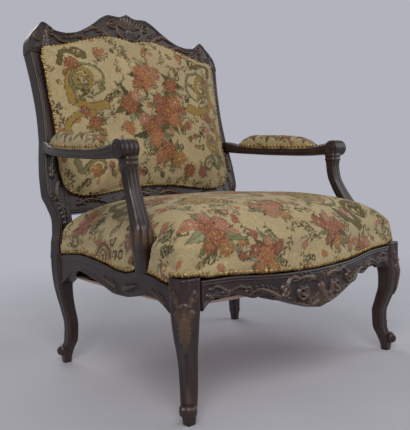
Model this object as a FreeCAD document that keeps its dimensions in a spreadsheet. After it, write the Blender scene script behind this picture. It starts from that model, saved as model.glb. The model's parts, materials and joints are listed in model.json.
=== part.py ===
import os

import FreeCAD
import Part
import Sketcher
from math import ceil, cos, pi, sin, sqrt
from FreeCAD import Placement, Rotation, Vector

# A large carved open armchair: serpentine walnut frame on cabriole legs, upholstered seat, back and arm pads.
# The chair faces -Y, +Z is up, and the origin is on the floor, in the middle of the chair's outline.

os.makedirs("parts", exist_ok=True)
doc = FreeCAD.newDocument("Fauteuil")
sheet = doc.addObject("Spreadsheet::Sheet", "Sizes")

# Driving sizes in millimetres. Positions in Y are counted from a line 286 mm in front of the back legs.
driving_sizes = {
    "seat_rail_top": 285.0,
    "front_leg_spread": 345.0,
    "front_leg_place": -258.0,
    "front_leg_block": 48.0,
    "back_leg_spread": 308.0,
    "back_leg_place": 286.0,
    "back_leg_block": 46.0,
    "block_corner_radius": 7.0,
    "foot_scroll_radius": 12.0,
    "foot_scroll_length": 34.0,
    "foot_scroll_reach": 9.5,
    "foot_scroll_height": 34.0,
    "rail_face_reveal": 3.0,
    "rail_face_thickness": 24.0,
    "rail_ledge_thickness": 14.0,
    "rail_ledge_bottom": 236.0,
    "rebate_height": 12.0,
    "front_rail_bow": 29.0,
    "cartouche_drop": 104.0,
    "back_rail_thickness": 28.0,
    "back_rail_rise": 7.0,
    "tenon_thickness": 10.0,
    "tenon_height": 30.0,
    "tenon_length": 20.0,
    "joint_clearance": 0.15,
    "shoulder_gap": 0.05,
    "peg_radius": 3.0,
    "peg_clearance": 0.08,
    "peg_length": 30.0,
    "back_rake": 11.3,
    "back_pivot_place": 290.0,
    "back_pivot_height": 440.0,
    "stile_inner_edge": 277.0,
    "stile_top": 382.0,
    "crest_height": 147.0,
    "back_frame_thickness": 38.0,
    "arm_height": 541.0,
    "arm_spread": 355.0,
    "arm_joint_rise": 120.0,
    "hand_scroll_radius": 21.0,
    "hand_scroll_length": 44.0,
    "hand_scroll_place": -92.0,
    "support_place": -126.0,
    "support_foot_width": 30.0,
    "support_foot_length": 42.0,
    "support_housing": 10.0,
    "housing_clearance": 0.2,
    "seat_crown": 142.0,
    "crown_set_forward": 250.0,
    "seat_wall": 62.0,
    "seat_corner_radius": 34.0,
    "seat_back_corner_radius": 28.0,
    "cover_thickness": 2.5,
    "cloth_clearance": 0.3,
    "support_notch_gap": 1.2,
    "hessian_thickness": 1.5,
    "hessian_clearance": 0.6,
    "corner_notch": 30.0,
    "hessian_rise": 62.0,
    "back_cushion_bulge": 40.0,
    "arm_pad_cover_thickness": 2.0,
    "arm_pad_rise": 40.0,
    "arm_pad_width": 47.0,
    "arm_pad_back": 252.0,
    "arm_pad_front": -22.0,
    "webbing_width": 52.0,
    "webbing_thickness": 1.5,
    "webbing_spacing": 110.0,
    "back_webbing_width": 45.0,
    "bottom_cloth_thickness": 1.5,
    "bottom_cloth_sag": 22.0,
    "spring_radius": 42.0,
    "spring_waist": 27.0,
    "spring_wire": 2.0,
    "spring_pitch": 145.0,
    "outside_cloth_thickness": 1.2,
    "corner_block_leg": 58.0,
    "corner_block_height": 34.0,
    "glue_gap": 0.15,
}
for row, (name, value) in enumerate(driving_sizes.items(), 1):
    sheet.set(f"A{row}", name)
    sheet.set(f"B{row}", str(value))
    sheet.setAlias(f"B{row}", name)
doc.recompute()


def size(name):
    return float(sheet.get(name))


half_front_block = size("front_leg_block") / 2
half_back_block = size("back_leg_block") / 2
rake = size("back_rake") * pi / 180
seat_rail_top = size("seat_rail_top")
clearance = size("joint_clearance")
cloth_clearance = size("cloth_clearance")
far = 2000.0
curve_fineness = 0.4
flat_enough = 0.00000001


# Points along a smooth curve through the given ones, either a number of them or as many as its bends need.
def smooth_line(points, count=0):
    curve = Part.BSplineCurve()
    curve.interpolate([Vector(*point) for point in points])
    if count:
        return curve.toShape().discretize(Number=count)
    return curve.toShape().discretize(QuasiDeflection=curve_fineness)


# A closed outline along chains of points, each chain starting near where the last one ends.
def closed_outline(*chains):
    points = []
    for chain in chains:
        for point in chain:
            corner = Vector(*point)
            if not points or (corner - points[-1]).Length > 0.001:
                points.append(corner)
    if (points[0] - points[-1]).Length < 0.001:
        points.pop()
    return Part.makePolygon(points + points[:1])


# A closed outline with rounded corners of two facets each, in the plane of the two unit vectors.
def rounded_outline(centre, across, along, width, depth, radius):
    points = []
    for sign_u, sign_v in ((1, 1), (-1, 1), (-1, -1), (1, -1)):
        middle = centre + across * (sign_u * (width / 2 - radius)) + along * (sign_v * (depth / 2 - radius))
        first, second = across * sign_u, along * sign_v
        if sign_u * sign_v < 0:
            first, second = second, first
        bulge = (first + second) * (radius / sqrt(2))
        points = points + [middle + first * radius, middle + bulge, middle + second * radius]
    return closed_outline(points)


# The solid through outlines of equally many corners, with flat faces: a four-sided patch that isn't flat
# is folded along its shorter diagonal.
def loft(outlines):
    rows = [[vertex.Point for vertex in outline.OrderedVertexes] for outline in outlines]
    count = len(rows[0])
    faces = [flat_face(rows[0]), flat_face(rows[-1])]
    for lower, upper in zip(rows, rows[1:]):
        for index in range(count):
            after = (index + 1) % count
            a, b, c, d = lower[index], lower[after], upper[after], upper[index]
            twist = abs((b - a).cross(c - a).dot(d - a))
            if twist < flat_enough * (b - a).Length * (c - a).Length:
                faces.append(flat_face([a, b, c, d]))
            elif (c - a).Length < (d - b).Length:
                faces.append(flat_face([a, b, c]))
                faces.append(flat_face([a, c, d]))
            else:
                faces.append(flat_face([a, b, d]))
                faces.append(flat_face([b, c, d]))
    shell = Part.makeCompound(faces)
    shell.sewShape(0.0001)
    solid = Part.makeSolid(shell.Shells[0])
    if solid.Volume < 0:
        solid.reverse()
    return solid


def flat_face(points):
    return Part.Face(Part.makePolygon(points + points[:1]))


# A row of a table at any value of its first column, on a smooth curve that never leaves the rows' range.
def smooth_row(table, level):
    place = 1
    while place < len(table) - 1 and table[place][0] < level:
        place += 1
    before, after = table[place - 1], table[place]
    span = after[0] - before[0]
    share = (level - before[0]) / span

    def step_slope(index, column):
        return (table[index][column] - table[index - 1][column]) / (table[index][0] - table[index - 1][0])

    def slope(index, column):
        if index == 0 or index == len(table) - 1:
            return step_slope(max(index, 1), column)
        low, high = step_slope(index, column), step_slope(index + 1, column)
        return 2 * low * high / (low + high) if low * high > 0 else 0.0

    row = [level]
    for column in range(1, len(before)):
        start = before[column] * (1 + 2 * share) * (1 - share) ** 2
        end = after[column] * share ** 2 * (3 - 2 * share)
        leave = slope(place - 1, column) * span * share * (1 - share) ** 2
        arrive = slope(place, column) * span * share ** 2 * (share - 1)
        row.append(start + end + leave + arrive)
    return row


def smooth_rows(table, count):
    first, last = table[0][0], table[-1][0]
    return [smooth_row(table, first + (last - first) * step / (count - 1)) for step in range(count)]


# The table's own rows, with more between them where they are further apart than a step.
def close_rows(table, longest):
    rows = []
    for before, after in zip(table, table[1:]):
        count = ceil((after[0] - before[0]) / longest)
        for step in range(count):
            rows.append(smooth_row(table, before[0] + (after[0] - before[0]) * step / count))
    return rows + [list(table[-1])]


def box(low, high):
    return Part.makeBox(high[0] - low[0], high[1] - low[1], high[2] - low[2], Vector(*low))


# The solid between two heights over the strip between two lines in plan.
def upright_strip(outer_line, inner_line, low, high):
    face = Part.Face(closed_outline(outer_line, inner_line[::-1]))
    face.translate(Vector(0, 0, low))
    return face.extrude(Vector(0, 0, high - low))


# The slab whose front view (through = Y) or side view (through = X) lies between two curves.
def sawn_profile(top_points, bottom_points, through, start=-far / 2, stop=far / 2):
    def place(point):
        if through.x:
            return (start, point[0], point[1])
        return (point[0], start, point[1])
    top = smooth_line([place(point) for point in top_points])
    bottom = smooth_line([place(point) for point in bottom_points])
    return Part.Face(closed_outline(top, bottom[::-1])).extrude(through * (stop - start))


def mirrored(shape):
    return shape.mirror(Vector(0, 0, 0), Vector(1, 0, 0))


def raised(points, amount):
    return [(place, height + amount) for place, height in points]


# A point of the raked back: x across, rise up along the back, front forward from the frame's front face.
def back_point(x, rise, front=0.0):
    return Vector(
        x,
        size("back_pivot_place") + rise * sin(rake) - front * cos(rake),
        size("back_pivot_height") + rise * cos(rake) + front * sin(rake),
    )


back_front = Vector(0, -cos(rake), sin(rake))
across = Vector(1, 0, 0)
deep = Vector(0, 1, 0)


def back_box(low, high):
    slab = box((low[0], -high[2], low[1]), (high[0], -low[2], high[1]))
    slab.rotate(Vector(0, 0, 0), Vector(1, 0, 0), -size("back_rake"))
    slab.translate(Vector(0, size("back_pivot_place"), size("back_pivot_height")))
    return slab


# Front leg: a cabriole leg cut from square stock, its outer edge swelling at the knee and rolling out
# at the foot.
front_leg_curve = (
    # height, outward offset of the axis, side of the square
    (0.0, -3.0, 20.0),
    (14.0, -3.5, 22.0),
    (36.0, -9.0, 26.0),
    (66.0, -19.0, 28.5),
    (102.0, -19.5, 30.0),
    (138.0, -9.0, 33.0),
    (172.0, 2.5, 38.0),
    (206.0, 5.5, 43.0),
    (240.0, 1.0, 47.0),
)
back_leg_curve = (
    (0.0, 0.0, 20.0),
    (14.0, -0.5, 22.0),
    (34.0, -4.0, 26.0),
    (60.0, -14.0, 28.5),
    (100.0, -16.0, 29.5),
    (143.0, -9.0, 31.0),
    (177.0, -3.0, 35.0),
    (208.0, 0.0, 40.0),
    (240.0, 0.0, 45.0),
)
leg_sections = 11
corner_share = 0.2
block_overlap = 4.0
ledge_bottom = size("rail_ledge_bottom")


def cabriole(spread, place, outward_y, curve, block, top):
    outward = Vector(1, outward_y, 0) / sqrt(2)
    axis = Vector(spread, place, 0)
    stretch = (ledge_bottom + block_overlap) / curve[-1][0]
    sections = []
    for height, offset, side in smooth_rows(curve, leg_sections):
        centre = axis + outward * offset + Vector(0, 0, height * stretch)
        sections.append(rounded_outline(centre, across, deep, side, side, side * corner_share))
    leg = loft(sections)
    radius = size("block_corner_radius")
    base = rounded_outline(axis + Vector(0, 0, ledge_bottom), across, deep, block, block, radius)
    leg = leg.fuse(Part.Face(base).extrude(Vector(0, 0, top - ledge_bottom)))
    sideways = outward.cross(Vector(0, 0, 1))
    scroll_middle = axis + outward * size("foot_scroll_reach") + Vector(0, 0, size("foot_scroll_height"))
    roll = Part.makeCylinder(
        size("foot_scroll_radius"),
        size("foot_scroll_length"),
        scroll_middle - sideways * (size("foot_scroll_length") / 2),
        sideways,
    )
    return leg.fuse(roll).removeSplitter()


front_x = size("front_leg_spread")
front_y = size("front_leg_place")
back_x = size("back_leg_spread")
back_y = size("back_leg_place")
front_leg = cabriole(front_x, front_y, -1, front_leg_curve, size("front_leg_block"), seat_rail_top + 3)
back_leg = cabriole(back_x, back_y, 1, back_leg_curve, size("back_leg_block"), seat_rail_top + 4)

# Back stile: rises from the back leg along the raked back, widest beside the lower rail.
stile_inner = size("stile_inner_edge")
back_thickness = size("back_frame_thickness")
stile_top = size("stile_top")
block_rise = (seat_rail_top - size("back_pivot_height")) / cos(rake)
stile_curve = (
    # rise along the back, set-back from its front, inner edge, width, depth
    (block_rise, 5.0, back_x - half_back_block, size("back_leg_block"), size("back_leg_block") - 3),
    (-122.0, 2.0, back_x - half_back_block, 42.0, back_thickness + 2),
    (-95.0, 0.5, stile_inner + 3, 41.0, back_thickness),
    (-62.0, 0.0, stile_inner, 41.0, back_thickness),
    (-25.0, 0.0, stile_inner, 50.0, back_thickness),
    (5.0, 0.0, stile_inner, 60.0, back_thickness),
    (45.0, 0.0, stile_inner, 59.0, back_thickness),
    (100.0, 0.0, stile_inner, 53.0, back_thickness),
    (155.0, 0.0, stile_inner, 44.5, back_thickness),
    (225.0, 0.0, stile_inner, 41.0, back_thickness),
    (300.0, 0.0, stile_inner, 44.0, back_thickness),
    (stile_top, 0.0, stile_inner, 52.0, back_thickness),
)
stile_step = 60.0
stile_corner = 6.0


def stile_section(rise, set_back, inner, width, depth):
    centre = back_point(inner + width / 2, rise, -set_back - depth / 2)
    return rounded_outline(centre, across, back_front, width, depth, stile_corner)


stile = loft([stile_section(*entry) for entry in close_rows(stile_curve, stile_step)])

# Seat rails are sawn to a plan and to a front or side view. The face carries the carved lower edge,
# the ledge behind it carries the webbing, and the rebate behind the cover takes the nails.
rail_thickness = size("rail_face_thickness") + size("rail_ledge_thickness")
rebate_set_back = size("rail_face_reveal") + size("cover_thickness") + cloth_clearance
front_half = front_x - half_front_block - size("shoulder_gap")
front_face = front_y - half_front_block - 1.0
bow_shape = ((0.0, 1.0), (0.35, 0.8), (0.64, 0.28), (0.82, 0.04), (1.0, 0.0))
front_top_shape = ((0.0, -17.0), (0.3, -15.0), (0.52, -11.0), (0.75, -5.0), (1.0, -3.0))
front_bottom_shape = (
    # share of the half length, height below the rail's top
    (0.0, 1.0), (0.16, 0.915), (0.27, 0.80), (0.38, 0.68), (0.45, 0.64), (0.5, 0.49), (0.59, 0.54),
    (0.66, 0.47), (0.74, 0.40), (0.82, 0.43), (0.89, 0.40), (0.95, 0.47), (1.0, 0.60),
)


def both_halves(points, length):
    right = [(share * length, height) for share, height in points]
    return [(-x, height) for x, height in reversed(right[1:])] + right


bow_samples = smooth_rows(bow_shape, 10)


def front_edge(inset):
    points = both_halves([(share, -bow * size("front_rail_bow")) for share, bow in bow_samples], front_half)
    return [(x, front_face + bow + inset, 0) for x, bow in points]


front_top = both_halves([(share, seat_rail_top + drop) for share, drop in front_top_shape], front_half)
cartouche_drop = size("cartouche_drop")
front_lower_edge = [(share, seat_rail_top - drop * cartouche_drop) for share, drop in front_bottom_shape]
front_bottom = both_halves(front_lower_edge, front_half)


def flat_line(points, height):
    return [(points[0][0], height), (points[-1][0], height)]


def build_front_rail():
    face = upright_strip(front_edge(0), front_edge(size("rail_face_thickness")), 100, 400)
    face = face.common(sawn_profile(front_top, front_bottom, deep))
    rebate_top = raised(front_top, size("rebate_height"))
    middle = flat_line(front_top, ledge_bottom + 22)
    rebate = upright_strip(front_edge(rebate_set_back), front_edge(rail_thickness), 100, 400)
    rebate = rebate.common(sawn_profile(rebate_top, middle, deep))
    low = flat_line(front_top, ledge_bottom)
    ledge = upright_strip(front_edge(size("rail_face_thickness") - 1), front_edge(rail_thickness), 100, 400)
    ledge = ledge.common(sawn_profile(front_top, low, deep))
    return face.fuse([rebate, ledge])


side_front_y = front_y + half_front_block + size("shoulder_gap")
side_back_y = back_y - half_back_block - size("shoulder_gap")
side_length = side_back_y - side_front_y
side_front_x = front_x + half_front_block - size("rail_face_reveal")
side_back_x = back_x + half_back_block - size("rail_face_reveal")
support_share = (size("support_place") - side_front_y) / side_length
foot_share = size("support_foot_length") / 2 / side_length + 0.01
side_top_shape = (
    (0.0, -13.0), (0.06, -8.0), (0.14, 0.0), (support_share, 1.0), (support_share + foot_share, -1.0),
    (0.33, -7.0), (0.41, -6.0), (0.5, 1.0), (0.62, 8.0), (0.76, 12.0), (0.88, 8.0), (1.0, 1.0),
)
side_bottom_shape = (
    (0.0, -66.0), (0.05, -53.0), (0.10, -45.0), (0.17, -44.0), (0.25, -51.0), (0.34, -58.0), (0.43, -59.0),
    (0.53, -49.0), (0.66, -36.0), (0.78, -27.0), (0.86, -36.0), (0.93, -55.0), (1.0, -74.0),
)
side_top = [(side_front_y + share * side_length, seat_rail_top + drop) for share, drop in side_top_shape]
side_bottom = [
    (side_front_y + share * side_length, seat_rail_top + drop) for share, drop in side_bottom_shape
]


def side_outer_x(place):
    return side_front_x + (side_back_x - side_front_x) * (place - side_front_y) / side_length


def side_edge(inset):
    return [(side_front_x - inset, side_front_y, 0), (side_back_x - inset, side_back_y, 0)]


def build_side_rail():
    face = upright_strip(side_edge(0), side_edge(size("rail_face_thickness")), 100, 400)
    face = face.common(sawn_profile(side_top, side_bottom, across))
    rebate_top = raised(side_top, size("rebate_height"))
    middle = flat_line(side_top, ledge_bottom + 28)
    rebate = upright_strip(side_edge(rebate_set_back), side_edge(rail_thickness), 100, 400)
    rebate = rebate.common(sawn_profile(rebate_top, middle, across))
    low = flat_line(side_top, ledge_bottom)
    ledge = upright_strip(side_edge(size("rail_face_thickness") - 1), side_edge(rail_thickness), 100, 400)
    ledge = ledge.common(sawn_profile(side_top, low, across))
    return face.fuse([rebate, ledge])


front_rail = build_front_rail()
side_rail = build_side_rail()

# Back seat rail, plain: it is hidden from the front.
back_rail_top = seat_rail_top + size("back_rail_rise")
back_rail_half = back_x - half_back_block - size("shoulder_gap")
back_rail_low_y = back_y - size("back_rail_thickness") / 2
back_rail = box(
    (-back_rail_half, back_rail_low_y, ledge_bottom),
    (back_rail_half, back_rail_low_y + size("back_rail_thickness"), back_rail_top),
)

# Mortise and tenon joints of the seat frame. Each tenon stays below the rail's top and off its neighbour's.
tenon_low = ledge_bottom + 10
tenon_high = tenon_low + size("tenon_height")
tenon_thickness = size("tenon_thickness")
tenon_length = size("tenon_length")


def grown(low, high, amount=clearance, end=1.0, axis=0):
    low_grown = [value - (end if index == axis else amount) for index, value in enumerate(low)]
    high_grown = [value + (end if index == axis else amount) for index, value in enumerate(high)]
    return low_grown, high_grown


front_tenon_y = front_face + 12.0
front_tenon = (
    (front_half - 6, front_tenon_y, tenon_low),
    (front_half + tenon_length, front_tenon_y + tenon_thickness, tenon_high - 4),
)
side_front_tenon_x = front_half + tenon_length + 3.0
side_front_tenon = (
    (side_front_tenon_x, side_front_y - tenon_length - 4, tenon_low),
    (side_front_tenon_x + tenon_thickness, side_front_y + 6, tenon_high - 6),
)
side_back_tenon_x = back_rail_half + tenon_length + 2.0
side_back_tenon = (
    (side_back_tenon_x, side_back_y - 6, tenon_low),
    (side_back_tenon_x + tenon_thickness, side_back_y + tenon_length + 4, tenon_high),
)
back_tenon = (
    (back_rail_half - 6, back_y - tenon_thickness / 2, tenon_low),
    (back_rail_half + tenon_length - 1, back_y + tenon_thickness / 2, tenon_high + 4),
)
front_solid = box(*front_tenon)
front_rail = front_rail.fuse([front_solid, mirrored(front_solid)])
side_rail = side_rail.fuse([box(*side_front_tenon), box(*side_back_tenon)])
back_solid = box(*back_tenon)
back_rail = back_rail.fuse([back_solid, mirrored(back_solid)])
front_leg = front_leg.cut(box(*grown(*front_tenon, axis=0)))
front_leg = front_leg.cut(box(*grown(*side_front_tenon, axis=1)))
post = back_leg.fuse(stile)
post = post.cut(box(*grown(*side_back_tenon, axis=1)))
post = post.cut(box(*grown(*back_tenon, axis=0)))

# Crest rail, sawn to its outline in the plane of the back, sitting on the stiles' tops.
crest_height = size("crest_height")
stile_outer_top = stile_inner + stile_curve[-1][3]
crest_top_shape = (
    # share of the half width to the ear's tip, share of the crest's height over the stiles' tops
    (0.0, 1.0), (0.11, 0.93), (0.22, 0.94), (0.31, 0.875), (0.43, 0.715), (0.54, 0.585), (0.66, 0.485),
    (0.78, 0.45), (0.88, 0.47), (0.95, 0.56), (1.0, 0.605),
)
ear_shape = ((1.0, 0.605), (1.075, 0.47), (1.135, 0.35), (1.175, 0.21), (1.19, 0.09))
crest_bottom_shape = (
    (0.0, 0.28), (0.09, 0.31), (0.25, 0.34), (0.43, 0.28), (0.6, 0.185), (0.76, 0.095), (0.91, 0.03),
)
ear_tip = stile_inner + 1.0


def crest_points(shape, side=1):
    points = []
    for share, height in shape:
        point = back_point(side * share * ear_tip, stile_top + height * crest_height)
        points.append(tuple(point))
    return points


def build_crest():
    top = crest_points(crest_top_shape, -1)[::-1] + crest_points(crest_top_shape)[1:]
    joint = stile_top + size("shoulder_gap")
    inner = back_point(stile_inner, joint)
    outer = back_point(stile_outer_top, joint)
    ear = smooth_line(crest_points(ear_shape) + [tuple(outer)])
    bottom_right = crest_points(crest_bottom_shape) + [tuple(inner)]
    bottom = smooth_line([(-x, y, z) for x, y, z in reversed(bottom_right[1:])] + bottom_right)
    left_ear = [Vector(-point.x, point.y, point.z) for point in reversed(ear)]
    face = Part.Face(closed_outline(smooth_line(top), ear, bottom[::-1], left_ear))
    return face.extrude(back_front * -back_thickness)


crest_rail = build_crest()
crest_tenon = ((stile_inner + 15, stile_top - 6, -24.0), (stile_inner + 37, stile_top + 22, -12.0))
crest_tenon_solid = back_box(*crest_tenon)
post = post.fuse(crest_tenon_solid)
crest_mortise = back_box(*grown(*crest_tenon, axis=1))
crest_rail = crest_rail.cut(crest_mortise).cut(mirrored(crest_mortise))

# Lower back rail between the stiles.
lower_half = stile_inner - size("shoulder_gap")
lower_top_shape = ((0.0, 26.0), (0.22, 25.0), (0.5, 15.0), (0.66, 9.0), (0.82, 8.0), (1.0, 14.0))
lower_bottom_shape = ((0.0, -43.0), (0.3, -42.0), (0.47, -44.0), (0.6, -47.0), (0.75, -51.0), (1.0, -52.0))


def lower_edge(shape):
    right = [tuple(back_point(share * lower_half, rise)) for share, rise in shape]
    return [(-x, y, z) for x, y, z in reversed(right[1:])] + right


lower_top = lower_edge(lower_top_shape)
lower_bottom = lower_edge(lower_bottom_shape)
lower_face = Part.Face(closed_outline(smooth_line(lower_top), smooth_line(lower_bottom)[::-1]))
lower_back_rail = lower_face.extrude(back_front * -back_thickness)
lower_tenon = ((lower_half - 6, -38.0, -24.0), (lower_half + tenon_length, 0.0, -12.0))
lower_tenon_solid = back_box(*lower_tenon)
lower_back_rail = lower_back_rail.fuse([lower_tenon_solid, mirrored(lower_tenon_solid)])
post = post.cut(back_box(*grown(*lower_tenon, axis=0)))

# Arms: a scrolled hand-hold at the front, tenoned into the stile at the back.
arm_spread = size("arm_spread")
arm_height = size("arm_height")
scroll_y = size("hand_scroll_place")
arm_back_y = back_point(0, size("arm_joint_rise")).y
arm_length = arm_back_y - scroll_y
arm_curve = (
    # share of the length from the hand-hold, inward offset, rise of the middle, width, height
    (0.0, 0.0, 0.0, 42.0, 38.0),
    (0.10, 1.0, -4.0, 42.0, 30.0),
    (0.22, 3.0, -7.0, 45.0, 25.0),
    (0.47, 8.5, -3.0, 46.0, 24.0),
    (0.70, 17.0, 3.5, 45.0, 24.0),
    (0.86, 27.0, 11.0, 40.0, 28.0),
    (0.97, 37.0, 19.0, 35.0, 34.0),
    (1.06, 42.0, 22.0, 32.0, 36.0),
)
arm_sections = 13
arm_corner = 8.0


def build_arm(extra=0.0):
    sections = []
    for share, inward, rise, width, height in smooth_rows(arm_curve, arm_sections):
        centre = Vector(arm_spread - inward, scroll_y + share * arm_length, arm_height + rise)
        sections.append(rounded_outline(
            centre, across, Vector(0, 0, 1), width + 2 * extra, height + 2 * extra, arm_corner))
    return loft(sections)


scroll_radius = size("hand_scroll_radius")
scroll_length = size("hand_scroll_length")
arm_under = arm_height - scroll_radius
arm = build_arm()
arm = arm.cut(back_box((0, -far / 2, -far / 2), (far / 2, far / 2, size("shoulder_gap"))))
scroll_start = Vector(arm_spread - scroll_length / 2, scroll_y, arm_height)
hand_scroll = Part.makeCylinder(scroll_radius, scroll_length, scroll_start, across)
support_top = Vector(arm_spread - 8, scroll_y + 3, arm_under)
collar_outline = rounded_outline(support_top, across, deep, 38.0, 38.0, arm_corner)
collar = Part.Face(collar_outline).extrude(Vector(0, 0, scroll_radius))
arm = arm.fuse([hand_scroll, collar])
arm_rise = (arm_height + 20 - size("back_pivot_height")) / cos(rake)
arm_tenon_x = arm_spread - 52
arm_tenon = ((arm_tenon_x, arm_rise - 10, -22.0), (arm_tenon_x + 12, arm_rise + 10, 6.0))
arm = arm.fuse(back_box(*arm_tenon))
post = post.cut(back_box(*grown(*arm_tenon, axis=2)))

# Arm supports: an S-curve from the side rail, out and forward, then up to the hand-hold.
support_y = size("support_place")
support_foot_z = seat_rail_top - size("support_housing")
half_foot_width = size("support_foot_width") / 2
half_foot_length = size("support_foot_length") / 2
support_x = side_outer_x(support_y) - half_foot_width
support_height = arm_under - seat_rail_top
support_curve = (
    # share of the height over the rail, offset out from the foot, offset back from the foot, width, length
    (0.0, 0.0, 0.0, 30.0, 42.0),
    (0.10, 2.0, -1.0, 31.0, 42.0),
    (0.20, 6.0, -5.0, 35.0, 43.0),
    (0.30, 11.0, -11.0, 37.0, 42.0),
    (0.39, 11.5, -10.0, 37.0, 40.0),
    (0.50, 8.0, 3.0, 36.0, 38.0),
    (0.62, 3.5, 18.0, 34.0, 35.0),
    (0.75, 1.5, 31.0, 33.0, 33.0),
    (0.88, 2.0, 36.0, 33.0, 33.0),
    (1.0, support_top.x - support_x, support_top.y - support_y, 36.0, 36.0),
)
support_sections = 15
support_corner = 8.0


def build_support():
    sections = []
    for share, out, back, width, length in smooth_rows(support_curve, support_sections):
        height = seat_rail_top + share * (support_height - size("shoulder_gap"))
        centre = Vector(support_x + out, support_y + back, height)
        sections.append(rounded_outline(centre, across, deep, width, length, support_corner))
    foot = box(
        (support_x - half_foot_width, support_y - half_foot_length, support_foot_z),
        (support_x + half_foot_width, support_y + half_foot_length, seat_rail_top + 2),
    )
    return loft(sections).fuse(foot)


arm_support = build_support()
support_tenon = (
    (support_x - 2 - tenon_thickness / 2, support_y - 12, support_foot_z - 22),
    (support_x - 2 + tenon_thickness / 2, support_y + 12, support_foot_z + 4),
)
support_top_tenon = (
    (support_top.x - 7, support_top.y - 7, arm_under - 6),
    (support_top.x + 7, support_top.y + 7, arm_under + 18),
)
arm_support = arm_support.fuse([box(*support_tenon), box(*support_top_tenon)])
arm = arm.cut(box(*grown(*support_top_tenon, axis=2)))
housing_gap = size("housing_clearance")
housing = box(
    (support_x - half_foot_width - housing_gap, support_y - half_foot_length - housing_gap,
     support_foot_z - size("shoulder_gap")),
    (support_x + half_foot_width + 20, support_y + half_foot_length + housing_gap, 400),
)
side_rail = side_rail.cut(housing).cut(box(*grown(*support_tenon, axis=2)))

# Upholstered seat: the outline in plan at a height over the rail's top, drawn in by an inset.
seat_back_y = back_y + 6
seat_radius = size("seat_corner_radius")
corner_steps = 4
crown_y = seat_back_y - size("crown_set_forward")


# A quarter turn about a middle point, counter-clockwise in plan from an angle.
def corner_points(middle, radius, start):
    points = []
    for step in range(corner_steps + 1):
        angle = start + pi / 2 * step / corner_steps
        points.append((middle[0] + radius * cos(angle), middle[1] + radius * sin(angle)))
    return points


def seat_rim():
    front = front_face + size("rail_face_reveal")
    half_front = side_outer_x(front + seat_radius) - size("rail_face_reveal")
    back_radius = size("seat_back_corner_radius")
    half_back = side_outer_x(seat_back_y - back_radius) - size("rail_face_reveal")
    bow = size("front_rail_bow")
    right = [(share * front_half, front - bow * amount) for share, amount in bow_samples]
    right = right + corner_points((half_front - seat_radius, front + seat_radius), seat_radius, -pi / 2)
    right = right + corner_points((half_back - back_radius, seat_back_y - back_radius), back_radius, 0)
    return right + [(-x, y) for x, y in reversed(right)]


# An outline in plan drawn in evenly towards the crown's middle, by an amount measured at its sides.
def drawn_in(outline, half_width, inset, level):
    keep = 1 - inset / half_width
    return closed_outline([(x * keep, crown_y + (y - crown_y) * keep, level) for x, y in outline])


seat_wall = size("seat_wall")
seat_crown = size("seat_crown")
crown_rise = seat_crown - seat_wall
seat_shape = (
    # height over the rail's top, inset
    (-45.0, 0.0),
    (0.0, 0.0),
    (seat_wall * 0.75, 0.0),
    (seat_wall * 0.97, 2.5),
    (seat_wall + crown_rise * 0.09, 8.0),
    (seat_wall + crown_rise * 0.22, 19.0),
    (seat_wall + crown_rise * 0.4, 42.0),
    (seat_wall + crown_rise * 0.62, 82.0),
    (seat_wall + crown_rise * 0.83, 135.0),
    (seat_crown, 205.0),
)


# The seat's outer form, or what lies a thickness inside it.
def build_seat(sink):
    rim = seat_rim()
    half_width = max(x for x, y in rim)
    outlines = []
    for height, inset in seat_shape:
        level = seat_rail_top + (height - sink if height > 0 else height)
        outlines.append(drawn_in(rim, half_width, inset + sink, level))
    return loft(outlines)


cover_thickness = size("cover_thickness")

# What the seat cover is cut around: the rails' faces, the legs and stiles, and the arm supports.
room_low = seat_rail_top - 135
front_room = sawn_profile(
    raised(front_top, cloth_clearance), flat_line(front_top, room_low), deep,
    front_face - 60, front_y + half_front_block)
side_room = sawn_profile(
    raised(side_top, cloth_clearance), flat_line(side_top, room_low), across,
    side_back_x - rail_thickness, front_x + 90)
front_block_room = box(
    (front_x - half_front_block - 1, front_face - 60, room_low),
    (front_x + 90, front_y + half_front_block + 1, seat_rail_top + 3 + cloth_clearance),
)
back_block_room = box(
    (stile_inner - cloth_clearance, side_back_y - cloth_clearance, room_low),
    (back_x + 90, back_y + 90, seat_rail_top + 2 * seat_crown),
)
back_rail_room = box(
    (-far / 2, back_rail_low_y - cloth_clearance, room_low),
    (far / 2, back_y + 90, back_rail_top + cloth_clearance),
)
support_notch_gap = size("support_notch_gap")


# The room beside an arm support, straight-sided, from the rail to above the seat's edge.
def build_support_room():
    outlines = []
    for share in (0.0, 0.1, 0.2, 0.3, 0.39, 0.5):
        _, out, back, width, length = smooth_row(support_curve, share)
        centre = Vector(support_x + out, support_y + back, seat_rail_top + share * support_height)
        low_x = centre.x - width / 2 - support_notch_gap
        half = length / 2 + support_notch_gap
        corners = [
            Vector(low_x, centre.y - half, centre.z),
            Vector(front_x + 90, centre.y - half, centre.z),
            Vector(front_x + 90, centre.y + half, centre.z),
            Vector(low_x, centre.y + half, centre.z),
        ]
        outlines.append(Part.makePolygon(corners + corners[:1]))
    return loft(outlines), Part.Face(outlines[0]).extrude(Vector(0, 0, room_low - seat_rail_top))


support_room, support_foot_room = build_support_room()
side_rail = side_rail.cut(support_room)
frame_rooms = [back_block_room, support_room.fuse(support_foot_room)]
cover_rooms = frame_rooms + [front_room, side_room, front_block_room, back_rail_room]

# The hessian is tacked inside the rails and rises over the springs.
hessian_rise = size("hessian_rise")
front_steps = 6
hessian_shape = ((-6.0, 0.0), (hessian_rise * 0.45, 10.0), (hessian_rise * 0.85, 34.0), (hessian_rise, 70.0))


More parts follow.
